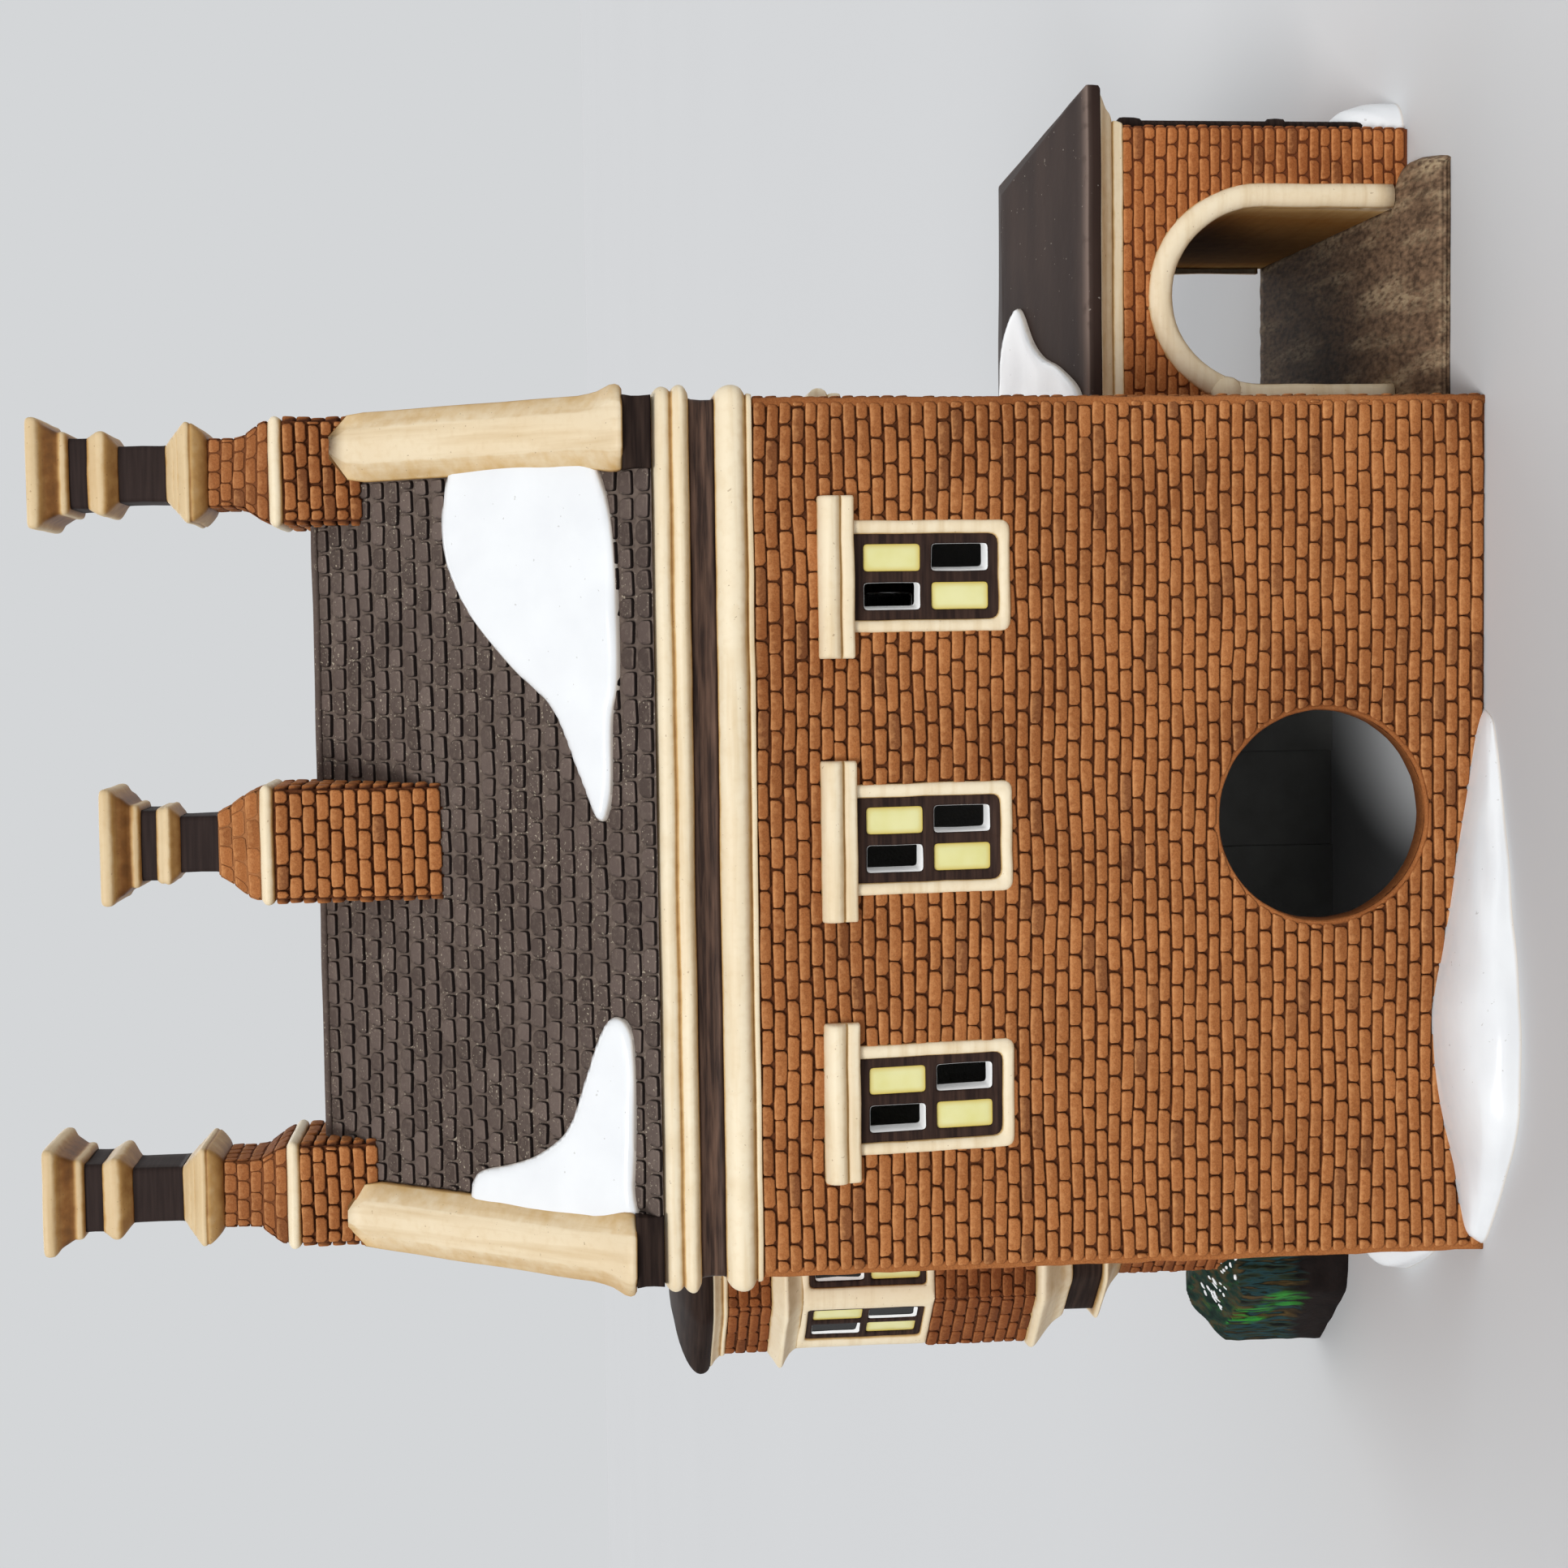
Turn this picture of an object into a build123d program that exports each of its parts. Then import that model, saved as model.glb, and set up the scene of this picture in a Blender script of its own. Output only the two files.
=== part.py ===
"""Ceramic village house with a corner turret and a carriage porch. Millimetres, +Z up.

The rear wall faces +Y, the turret stands at the +X end and the porch at the -X end.
While it is built, the house has its middle at X 0 and its rear face at Y 0.
The finished pieces are moved so that the origin is at the middle of the base.
"""

import os
from math import atan2, cos, pi, sin, tan

from build123d import *

# Fits between pieces that are set into each other
FIT = 0.1
SPIGOT_H = 1.5
SPIGOT_W = 4.0
SPIGOT_D = 6.0

# Main block
HOUSE_W = 130.0
HOUSE_D = 74.0
WALL_T = 3.0
WALL_H = 111.2
REBATE = 0.8
LAMP_HOLE_D = 32.0
LAMP_HOLE_X = -2.2
LAMP_HOLE_Z = 25.3

# String courses on top of the walls
LOW_CORNICE_H = 5.6
FRIEZE_H = 3.7
UP_CORNICE_H = 5.6
CORNICE_REACH = 2.1
CORNICE_LEDGE = 0.7
FILLET_SHARE = 0.18
GROOVE_SHARE = 0.02
LOWER_ROLL_SHARE = 0.6
FRIEZE_REACH = 0.3
LIP_T = 1.0
LIP_H = 2.0
ROLL_STEPS = 6

# Roof, gables and copings
RIDGE_RISE = 51.8
EAVE_OUT = 1.8
ROOF_T = 3.0
KNEELER_W = 10.0
KNEELER_H = 4.1
KNEELER_OUT = 2.0
KNEELER_DEEP = 6.0
COPING_W = 10.8
COPING_OVER = 1.2
COPING_H = 3.2
COPING_EDGE_H = 1.3
COPING_BEVEL = 2.8
COPING_FOOT_H = 3.3
COPING_FOOT_OUT = 1.0
COPING_FOOT_IN = 0.2

# Chimneys
CHIMNEY_W = 15.5
CHIMNEY_D = 18.0
CHIMNEY_BEHIND_RIDGE = 6.0
CHIMNEY_OVER_RIDGE = 4.3
BAND_H = 2.1
BAND_OVER = 0.9
TAPER_H = 4.6
STACK_W = 10.5
STACK_H = 5.1
MOULDING_W = 15.5
MOULDING_H = 6.6
FLUE_W = 8.2
FLUE_H = 7.2
RING_W = 13.1
RING_H = 4.6
COLLAR_W = 10.4
COLLAR_H = 2.8
CAP_W = 16.0
CAP_H = 6.1
MIDDLE_X = 0.6
MIDDLE_W = 16.8
MIDDLE_D = 16.8
MIDDLE_BEHIND_RIDGE = 14.8
MIDDLE_OVER_RIDGE = 6.1
MIDDLE_TAPER_H = 6.2
MIDDLE_STACK_W = 9.6
MIDDLE_FLUE_H = 5.6
MIDDLE_RING_W = 12.2
MIDDLE_RING_H = 3.5
MIDDLE_COLLAR_H = 2.3
MIDDLE_CAP_W = 18.0
MIDDLE_CAP_H = 5.8
MOULDING_COVE = 0.35
MOULDING_FACE = 0.2
RING_COVE = 0.45
RING_FACE = 0.25
CAP_NECK = 0.1
CAP_FLARE = 0.5
CAP_LIP = 0.15

# Windows, the same all round
WINDOW_PITCH = 38.9
WINDOW_HEAD_DROP = 14.8
LOWER_SILL_Z = 22.0
SASH_W = 12.7
SASH_H = 21.6
SASH_T = 1.6
SASH_SET_IN = 0.5
SASH_RAIL = 1.3
GLAZING_BAR = 1.7
PANE_RECESS = 0.4
SURROUND_W = 1.7
SURROUND_OUT = 1.1
LINTEL_W = 24.7
LINTEL_H = 5.2
LINTEL_OUT = 3.0
LINTEL_DRIP = 1.2
END_WINDOW_SETBACK = 24.0
DOOR_W = 17.0
DOOR_H = 36.0
DOOR_T = 2.0
DOOR_PANEL = 0.6
DOOR_RAIL = 2.0

# Corner turret on the turret end
TURRET_OUT = 11.1
TURRET_BACK = 3.7
TURRET_R = 18.8
PIER_R = 8.5
PIER_DROP = 70.2
CORBEL_LOW_H = 5.5
CORBEL_SHOULDER = 0.3
CORBEL_SWELL = 0.6
CORBEL_FLARE = 0.75
BELT_H = 5.5
BELT_R = 14.5
CORBEL_UP_H = 7.3
CORBEL_NECK = 1.6
LOW_DRUM_H = 17.7
STAGE_H = 23.2
STAGE_SILL_H = 1.8
HOOD_H = 5.1
HOOD_OUT = 3.2
HOOD_FLARE = 0.6
UP_DRUM_H = 7.5
TURRET_CORNICE_H = 2.7
TURRET_CORNICE_OUT = 2.2
TURRET_ROOF_H = 7.5
TURRET_ROOF_OUT = 3.6
TURRET_ROOF_STEPS = ((0.15, 1.0), (0.4, 0.87), (0.3, 0.65), (0.15, 0.4))
TURRET_SASH_W = 10.4
TURRET_SASH_H = 20.3

# Carriage porch on the porch end
PORCH_W = 46.7
PORCH_SETBACK = 33.0
PORCH_D = 65.0
PORCH_H = 47.6
ARCH_X = 19.7
ARCH_HALF = 14.4
ARCH_SPRING = 29.3
ARCH_CROWN = 39.7
ARCH_TRIM_W = 3.3
ARCH_TRIM_OUT = 1.4
ARCH_TRIM_FOOT = 2.6
ARCH_LIP = 1.2
PORCH_CORNICE_H = 4.6
PORCH_CORNICE_OUT = 4.2
FASCIA_H = 2.5
FASCIA_OUT = 5.6
PORCH_RIDGE_H = 6.5
PORCH_HIP = 10.4
DRIVE_T = 1.8
DRIVE_RISE = 3.2
APRON_D = 18.0
APRON_W = 39.5
PIPE_D = 1.8
PIPE_SETBACK = 4.0
PIPE_Z = 3.0
PIPE_HEAD_H = 4.0
PIPE_HEAD_D = 2.6
PIPE_COLLAR_Z = 21.0
PIPE_COLLAR_H = 3.0

# Bush beside the turret pier
BUSH_OUT = 12.9
BUSH_FORWARD = 4.7
BUSH_R = 10.4
BUSH_SHARE = 0.634
BUSH_STEPS = ((0.27, 1.0), (0.4, 1.0), (0.2, 0.85), (0.13, 0.5))

# Snow; outlines are shares of a patch's length and height
SNOW_T = 1.2
SNOW_UP = 37.5
TURRET_SNOW_L = 29.2
TURRET_SNOW = ((0, 0.96), (0.125, 0.91), (0.21, 0.64), (0.5, 0.41),
               (1, 0.27), (0.86, 0.15), (0.29, 0.13), (0, 0.15))
PORCH_SNOW_L = 51.2
PORCH_SNOW = ((0, 0.96), (0.26, 1), (0.56, 0.67), (0.84, 0.37),
              (1, 0.25), (0.64, 0.17), (0.28, 0.16), (0, 0.21))
HIP_SNOW_L = 20.8
HIP_SNOW_UP = 38.0
HIP_SNOW = ((0, 0.98), (0.31, 1), (0.64, 0.98), (0.86, 0.9), (1, 0.77),
            (0.71, 0.61), (0.54, 0.48), (0.43, 0.3), (0.25, 0.1), (0, 0.06))
DRIFT_X = 29.0
DRIFT_L = 36.0
DRIFT_OUT = 14.3
DRIFT_H = 8.6
DRIFT_TAIL_X = 2.0
DRIFT_TAIL_L = 22.0
DRIFT_TAIL_OUT = 9.5
DRIFT_TAIL_H = 4.6
SIDE_DRIFT_SETBACK = 34.0
SIDE_DRIFT_L = 15.0
SIDE_DRIFT_OUT = 12.0
SIDE_DRIFT_H = 9.0
PIER_DRIFT_SETBACK = 9.0
PIER_DRIFT_L = 8.0
PIER_DRIFT_OUT = 5.5
PIER_DRIFT_H = 11.5

# Levels and places that follow from these sizes
HALF_W = HOUSE_W / 2
LOW_CORNICE_Z = WALL_H
FRIEZE_Z = LOW_CORNICE_Z + LOW_CORNICE_H
UP_CORNICE_Z = FRIEZE_Z + FRIEZE_H
EAVE_Z = UP_CORNICE_Z + UP_CORNICE_H
RIDGE_Z = EAVE_Z + RIDGE_RISE
RIDGE_Y = -HOUSE_D / 2
CHIMNEY_SETBACK = -RIDGE_Y - CHIMNEY_BEHIND_RIDGE
MIDDLE_SETBACK = -RIDGE_Y - MIDDLE_BEHIND_RIDGE
SLOPE = atan2(RIDGE_RISE, HOUSE_D / 2 + EAVE_OUT)
WINDOW_SILL_Z = WALL_H - WINDOW_HEAD_DROP - SASH_H
PIER_H = WALL_H - PIER_DROP
BUSH_H = PIER_H * BUSH_SHARE
TURRET_X = HALF_W + TURRET_OUT
TURRET_Y = -HOUSE_D + TURRET_BACK
PORCH_X0 = -HALF_W - PORCH_W
PORCH_Y0 = -PORCH_SETBACK
PORCH_Y1 = PORCH_Y0 - PORCH_D
ARCH_CX = -HALF_W - ARCH_X
PIPE_X = PORCH_X0 - FIT - PIPE_D / 2
TALL = 2 * RIDGE_Z

parts = {}


def block(x0, x1, y0, y1, z0, z1):
    """A box between two corners."""
    return Pos((x0 + x1) / 2, (y0 + y1) / 2, (z0 + z1) / 2) * Box(abs(x1 - x0), abs(y1 - y0), abs(z1 - z0))


def along_x(points, x0, x1):
    """A (y, z) outline drawn out from x0 to x1."""
    return extrude(Plane.YZ.offset(x0) * Polygon(*points, align=None), x1 - x0, dir=(1, 0, 0))


def along_y(face, y0, y1):
    """A face drawn as (x, z) and drawn out from y0 back to y1."""
    return extrude(Plane.XZ.offset(-y0) * face, y0 - y1, dir=(0, -1, 0))


def tower(x, y, levels, deeper=0.0):
    """A stack of rectangles given as (z, width), each deeper than wide by the same amount."""
    return loft([Pos(x, y, z) * Rectangle(w, w + deeper) for z, w in levels], ruled=True)


def octagon(x, y, levels):
    """A stack of octagons given as (z, distance of the facets from the middle)."""
    sections = [Pos(x, y, z) * RegularPolygon(r, 8, major_radius=False, rotation=22.5) for z, r in levels]
    return loft(sections, ruled=True)


def spigot(x, y, z, gap=0.0):
    """The peg on top of a stacked piece, or with a gap the socket for it in the next one."""
    return block(x - SPIGOT_W / 2 - gap, x + SPIGOT_W / 2 + gap, y - SPIGOT_D / 2 - gap, y + SPIGOT_D / 2 + gap,
                 z, z + SPIGOT_H + gap)


def mirrored(piece):
    """The same piece on the front half of the roof."""
    return mirror(piece, about=Plane.XZ.offset(-RIDGE_Y))


# Walls
def opening(x, sill):
    """The cut for a sash through the rear or front wall."""
    return block(x - SASH_W / 2 - FIT, x + SASH_W / 2 + FIT, WALL_T, -HOUSE_D - WALL_T,
                 sill - FIT, sill + SASH_H + FIT)


def long_wall(y_out, y_in):
    """A full-width wall with rebates for the end walls."""
    wall = block(-HALF_W, HALF_W, y_out, y_in, 0, WALL_H)
    inward = 1 if y_in > y_out else -1
    seat = y_in - inward * REBATE
    for side in (-1, 1):
        wall -= block(side * (HALF_W - WALL_T - FIT), side * (HALF_W + FIT), seat, y_in, -FIT, WALL_H + FIT)
    return wall


def rear_wall():
    wall = long_wall(0, -WALL_T)
    for x in (-WINDOW_PITCH, 0, WINDOW_PITCH):
        wall -= opening(x, WINDOW_SILL_Z) & block(-HALF_W, HALF_W, WALL_T, -2 * WALL_T, 0, WALL_H)
    hole = Pos(LAMP_HOLE_X, 0, LAMP_HOLE_Z) * Rot(90, 0, 0) * Cylinder(LAMP_HOLE_D / 2, 4 * WALL_T)
    return wall - hole


def front_wall():
    wall = long_wall(-HOUSE_D, -HOUSE_D + WALL_T)
    front = block(-HALF_W, HALF_W, -HOUSE_D - WALL_T, -HOUSE_D + 2 * WALL_T, 0, WALL_H)
    for x in (-WINDOW_PITCH, 0, WINDOW_PITCH):
        wall -= opening(x, WINDOW_SILL_Z) & front
    for x in (-WINDOW_PITCH, WINDOW_PITCH):
        wall -= opening(x, LOWER_SILL_Z) & front
    half_door = DOOR_W / 2 + FIT
    return wall - block(-half_door, half_door, -HOUSE_D - WALL_T, -HOUSE_D + 2 * WALL_T, -FIT, DOOR_H + FIT)


def end_wall(side):
    """The wall under a gable, seated in the rebates of the long walls."""
    seat = WALL_T - REBATE + FIT
    return block(side * HALF_W, side * (HALF_W - WALL_T), -seat, -HOUSE_D + seat, 0, WALL_H)


parts["rear_wall"] = rear_wall()
parts["front_wall"] = front_wall()
end_cut = block(-HALF_W - WALL_T, -HALF_W + 2 * WALL_T, -END_WINDOW_SETBACK - SASH_W / 2 - FIT,
                -END_WINDOW_SETBACK + SASH_W / 2 + FIT, WINDOW_SILL_Z - FIT, WINDOW_SILL_Z + SASH_H + FIT)
parts["porch_end_wall"] = end_wall(-1) - end_cut
parts["turret_end_wall"] = end_wall(1)


# String courses
def course(step, z0, height, reaches):
    """A ring on the walls, with a lip that drops inside the ring or wall below it."""
    sections = [(z0 + height * share, reach) for share, reach in reaches]
    middle = -HOUSE_D / 2
    outlines = [Pos(0, middle, z) * Rectangle(HOUSE_W + 2 * r, HOUSE_D + 2 * r) for z, r in sections]
    ring = loft(outlines, ruled=True)
    lip_out = WALL_T + FIT + step * (LIP_T + FIT)
    lip_in = lip_out + LIP_T
    ring += block(-HALF_W + lip_out, HALF_W - lip_out, -lip_out, -HOUSE_D + lip_out, z0 - LIP_H, z0)
    return ring - block(-HALF_W + lip_in, HALF_W - lip_in, -lip_in, -HOUSE_D + lip_in,
                        z0 - LIP_H - FIT, z0 + height + FIT)


def roll(z0, z1):
    """Reach of a half-round roll between two shares of a course's height."""
    turns = [pi * k / ROLL_STEPS for k in range(ROLL_STEPS + 1)]
    deep = CORNICE_REACH - CORNICE_LEDGE
    return [(z0 + (z1 - z0) * (1 - cos(t)) / 2, CORNICE_LEDGE + deep * sin(t)) for t in turns]


fillet = [(0, 0), (FILLET_SHARE, CORNICE_LEDGE)]
two_rolls = roll(0, LOWER_ROLL_SHARE) + roll(LOWER_ROLL_SHARE + GROOVE_SHARE, 1)
parts["lower_cornice"] = course(0, LOW_CORNICE_Z, LOW_CORNICE_H, fillet + roll(FILLET_SHARE + GROOVE_SHARE, 1))
parts["frieze_band"] = course(1, FRIEZE_Z, FRIEZE_H, [(0, FRIEZE_REACH), (1, FRIEZE_REACH)])
parts["upper_cornice"] = course(2, UP_CORNICE_Z, UP_CORNICE_H, two_rolls)


# Roof, gables and copings
def slope_y(z, lift=0.0):
    """Y of the rear roof surface, or of a surface lifted off it, at a height."""
    return EAVE_OUT - (z - EAVE_Z) / tan(SLOPE) + lift / sin(SLOPE)


def slope_z(y, lift=0.0):
    """Height of the rear roof surface, or of a surface lifted off it, at a Y."""
    return EAVE_Z + (EAVE_OUT - y) * tan(SLOPE) + lift / cos(SLOPE)


def kneeler(side, gap=0.0):
    """The block at a gable's rear foot that carries the coping."""
    outer = HALF_W + FRIEZE_REACH + gap
    return block(side * (outer - KNEELER_W - 2 * gap), side * outer, KNEELER_OUT, -KNEELER_DEEP - gap,
                 EAVE_Z, EAVE_Z + KNEELER_H + gap)


def under_ridge(x0=-HOUSE_W, x1=HOUSE_W):
    """Everything between the eaves and the roof surface."""
    outline = [(EAVE_OUT, EAVE_Z), (RIDGE_Y, RIDGE_Z), (2 * RIDGE_Y - EAVE_OUT, EAVE_Z)]
    return along_x(outline, x0, x1)


def gable(side):
    """The brick triangle that closes the roof space, with its two kneeler blocks."""
    faces = sorted((side * HALF_W, side * (HALF_W - WALL_T)))
    panel = under_ridge(*faces)
    return panel + kneeler(side) + mirrored(kneeler(side))


def roof_slope():
    inside = HALF_W - WALL_T
    outline = [(EAVE_OUT, EAVE_Z), (RIDGE_Y, RIDGE_Z), (RIDGE_Y, slope_z(RIDGE_Y, -ROOF_T)),
               (slope_y(EAVE_Z, -ROOF_T), EAVE_Z)]
    slab = along_x(outline, -inside, inside)
    return slab - kneeler(-1, FIT) - kneeler(1, FIT)


def coping(side):
    """A bevelled coping from the kneeler up to the chimney, with a flared foot."""
    outer = HALF_W + COPING_OVER
    inner = outer - COPING_W
    foot_z = EAVE_Z + KNEELER_H
    section = [(inner, 0), (inner, COPING_EDGE_H), (inner + COPING_BEVEL, COPING_H),
               (outer - COPING_BEVEL, COPING_H), (outer, COPING_EDGE_H), (outer, 0)]
    slope_plane = Plane(origin=(0, EAVE_OUT, EAVE_Z), x_dir=(1, 0, 0), z_dir=(0, -cos(SLOPE), sin(SLOPE)))
    lying = Polygon(*[(side * x, h) for x, h in section], align=None)
    bar = extrude(slope_plane * lying, TALL, dir=slope_plane.z_dir)
    foot = block(side * (inner - COPING_FOOT_IN), side * (outer + COPING_FOOT_OUT),
                 KNEELER_OUT + COPING_FOOT_OUT, slope_y(foot_z + COPING_FOOT_H), foot_z, foot_z + COPING_FOOT_H)
    keep = block(-HOUSE_W, HOUSE_W, EAVE_OUT + TALL, -CHIMNEY_SETBACK, foot_z, TALL)
    return (bar + foot) & keep - under_ridge()


parts["porch_end_gable"] = gable(-1)
parts["turret_end_gable"] = gable(1)
parts["rear_roof_slope"] = roof_slope()
parts["front_roof_slope"] = mirrored(roof_slope())
for end, side in (("porch_end", -1), ("turret_end", 1)):
    parts["coping_rear_" + end] = coping(side)
    front_keep = block(-HOUSE_W, HOUSE_W, -CHIMNEY_SETBACK - CHIMNEY_D, -TALL, 0, TALL)
    parts["coping_front_" + end] = mirrored(coping(side)) & front_keep


# Chimneys
def stacked(name, x, y, pieces, deeper):
    """Pieces that stand on each other, each with a spigot into the next one."""
    for index, (label, levels) in enumerate(pieces):
        piece = tower(x, y, levels, deeper)
        if index:
            piece -= spigot(x, y, levels[0][0], FIT)
        if index < len(pieces) - 1:
            piece += spigot(x, y, levels[-1][0])
        parts[name + "_" + label] = piece


def levels_from(z, *steps):
    """Widths given with the height of each step above the last, as (z, width)."""
    out = []
    for rise, width in steps:
        z += rise
        out.append((z, width))
    return out


def chimney(name, x, setback, width, deep, base_top, taper_h, stack_w, stack_h, moulded, flue_h,
            ring_w, ring_h, collar_h, cap_w, cap_h):
    """A chimney from its base on the roof to its cap."""
    y = -setback - deep / 2
    base_z = slope_z(-setback) - KNEELER_H
    band_w = width + BAND_OVER
    band = levels_from(base_top, (0, band_w), (BAND_H / 2, band_w + BAND_OVER), (BAND_H / 2, width))
    stack = levels_from(band[-1][0], (0, width), (taper_h, stack_w), (stack_h, stack_w))
    pieces = [("base", [(base_z, width), (base_top, width)]), ("band", band), ("stack", stack)]
    top = stack[-1][0]
    if moulded:
        sloped_top = 1 - MOULDING_COVE - MOULDING_FACE
        moulding = levels_from(top, (0, stack_w), (MOULDING_H * MOULDING_COVE, MOULDING_W - BAND_OVER),
                               (MOULDING_H * MOULDING_FACE, MOULDING_W),
                               (MOULDING_H * sloped_top, FLUE_W + BAND_OVER))
        pieces.append(("moulding", moulding))
        top = moulding[-1][0]
    flue = levels_from(top, (0, FLUE_W), (flue_h, FLUE_W))
    ring = levels_from(flue[-1][0], (0, FLUE_W), (ring_h * RING_COVE, ring_w), (ring_h * RING_FACE, ring_w),
                       (ring_h * (1 - RING_COVE - RING_FACE), COLLAR_W))
    cap_top = 1 - CAP_NECK - CAP_FLARE - CAP_LIP
    lip_w = cap_w - BAND_OVER
    cap = levels_from(ring[-1][0], (0, COLLAR_W), (collar_h, COLLAR_W), (cap_h * CAP_NECK, COLLAR_W + BAND_OVER),
                      (cap_h * CAP_FLARE, lip_w), (cap_h * CAP_LIP, cap_w), (cap_h * cap_top, lip_w))
    pieces += [("flue", flue), ("ring", ring), ("cap", cap)]
    stacked(name, x, y, pieces, deep - width)
    parts[name + "_base"] -= under_ridge()


CHIMNEY_X = HALF_W - CHIMNEY_W / 2
for end, side in (("porch_end", -1), ("turret_end", 1)):
    chimney(end + "_chimney", side * CHIMNEY_X, CHIMNEY_SETBACK, width=CHIMNEY_W, deep=CHIMNEY_D,
            base_top=RIDGE_Z + CHIMNEY_OVER_RIDGE, taper_h=TAPER_H, stack_w=STACK_W, stack_h=STACK_H,
            moulded=True, flue_h=FLUE_H, ring_w=RING_W, ring_h=RING_H, collar_h=COLLAR_H,
            cap_w=CAP_W, cap_h=CAP_H)
chimney("middle_chimney", MIDDLE_X, MIDDLE_SETBACK, width=MIDDLE_W, deep=MIDDLE_D,
        base_top=RIDGE_Z + MIDDLE_OVER_RIDGE, taper_h=MIDDLE_TAPER_H, stack_w=MIDDLE_STACK_W, stack_h=FIT,
        moulded=False, flue_h=MIDDLE_FLUE_H, ring_w=MIDDLE_RING_W, ring_h=MIDDLE_RING_H,
        collar_h=MIDDLE_COLLAR_H, cap_w=MIDDLE_CAP_W, cap_h=MIDDLE_CAP_H)


# Windows, drawn facing +Y with the wall face at Y 0 and the sill at Z 0
def sash(width, height, open_panes):
    """A plate with four shallow panes, two of them cut through where it has open panes."""
    plate = block(-width / 2, width / 2, -SASH_SET_IN, -SASH_SET_IN - SASH_T, 0, height)
    pane_w = (width - 2 * SASH_RAIL - GLAZING_BAR) / 2
    pane_h = (height - 2 * SASH_RAIL - GLAZING_BAR) / 2
    for column in (-1, 1):
        x = column * (GLAZING_BAR + pane_w) / 2
        for row in (0, 1):
            z = SASH_RAIL + row * (pane_h + GLAZING_BAR)
            pierced = open_panes and (column == 1) == (row == 1)
            deep = 2 * SASH_T if pierced else PANE_RECESS
            plate -= block(x - pane_w / 2, x + pane_w / 2, 0, -SASH_SET_IN - deep, z, z + pane_h)
    return plate


def surround(width, height, sill=True):
    """The flat frame on the wall round an opening, up to its lintel."""
    low = -SURROUND_W if sill else 0
    clear_low = 0 if sill else -FIT
    frame = block(-width / 2 - SURROUND_W, width / 2 + SURROUND_W, SURROUND_OUT, 0, low, height)
    return frame - block(-width / 2 - FIT, width / 2 + FIT, 2 * SURROUND_OUT, -FIT, clear_low, height + FIT)


def lintel(width, height):
    """The moulded lintel over an opening."""
    outline = [(0, height), (LINTEL_OUT - LINTEL_DRIP, height), (LINTEL_OUT, height + LINTEL_DRIP),
               (LINTEL_OUT, height + LINTEL_H - LINTEL_DRIP), (LINTEL_OUT - LINTEL_DRIP, height + LINTEL_H),
               (0, height + LINTEL_H)]
    return along_x(outline, -width / 2, width / 2)


rear_places = [Pos(x, 0, WINDOW_SILL_Z) for x in (-WINDOW_PITCH, 0, WINDOW_PITCH)]
front_face = Pos(0, -HOUSE_D, 0) * Rot(0, 0, 180)
front_places = [front_face * Pos(x, 0, WINDOW_SILL_Z) for x in (-WINDOW_PITCH, 0, WINDOW_PITCH)]
front_places += [front_face * Pos(x, 0, LOWER_SILL_Z) for x in (-WINDOW_PITCH, WINDOW_PITCH)]
end_places = [Pos(-HALF_W, -END_WINDOW_SETBACK, WINDOW_SILL_Z) * Rot(0, 0, 90)]
window_places = rear_places + front_places + end_places

surrounds = [place * surround(SASH_W, SASH_H) for place in window_places]
surrounds.append(front_face * surround(DOOR_W, DOOR_H, sill=False))
lintels = [place * lintel(LINTEL_W, SASH_H) for place in window_places]
lintels.append(front_face * lintel(LINTEL_W, DOOR_H))
sashes = [place * sash(SASH_W, SASH_H, open_panes=True) for place in rear_places]
sashes += [place * sash(SASH_W, SASH_H, open_panes=False) for place in front_places + end_places]


def front_door():
    """A door leaf with two sunk panels."""
    leaf = block(-DOOR_W / 2, DOOR_W / 2, -SASH_SET_IN, -SASH_SET_IN - DOOR_T, 0, DOOR_H)
    panel_h = (DOOR_H - 3 * DOOR_RAIL) / 2
    half_panel = DOOR_W / 2 - DOOR_RAIL
    for z in (DOOR_RAIL, 2 * DOOR_RAIL + panel_h):
        leaf -= block(-half_panel, half_panel, 0, -SASH_SET_IN - DOOR_PANEL, z, z + panel_h)
    return front_face * leaf


parts["front_door"] = front_door()


# Turret
def house_envelope():
    """The space that the walls, courses and eaves take at the turret's corner."""
    wall_gap = block(-HOUSE_W, HALF_W + FIT, FIT, -HOUSE_D - FIT, -FIT, LOW_CORNICE_Z)
    over = CORNICE_REACH + FIT
    return wall_gap + block(-HOUSE_W, HALF_W + over, over, -HOUSE_D - over, LOW_CORNICE_Z - FIT, TALL)


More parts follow.
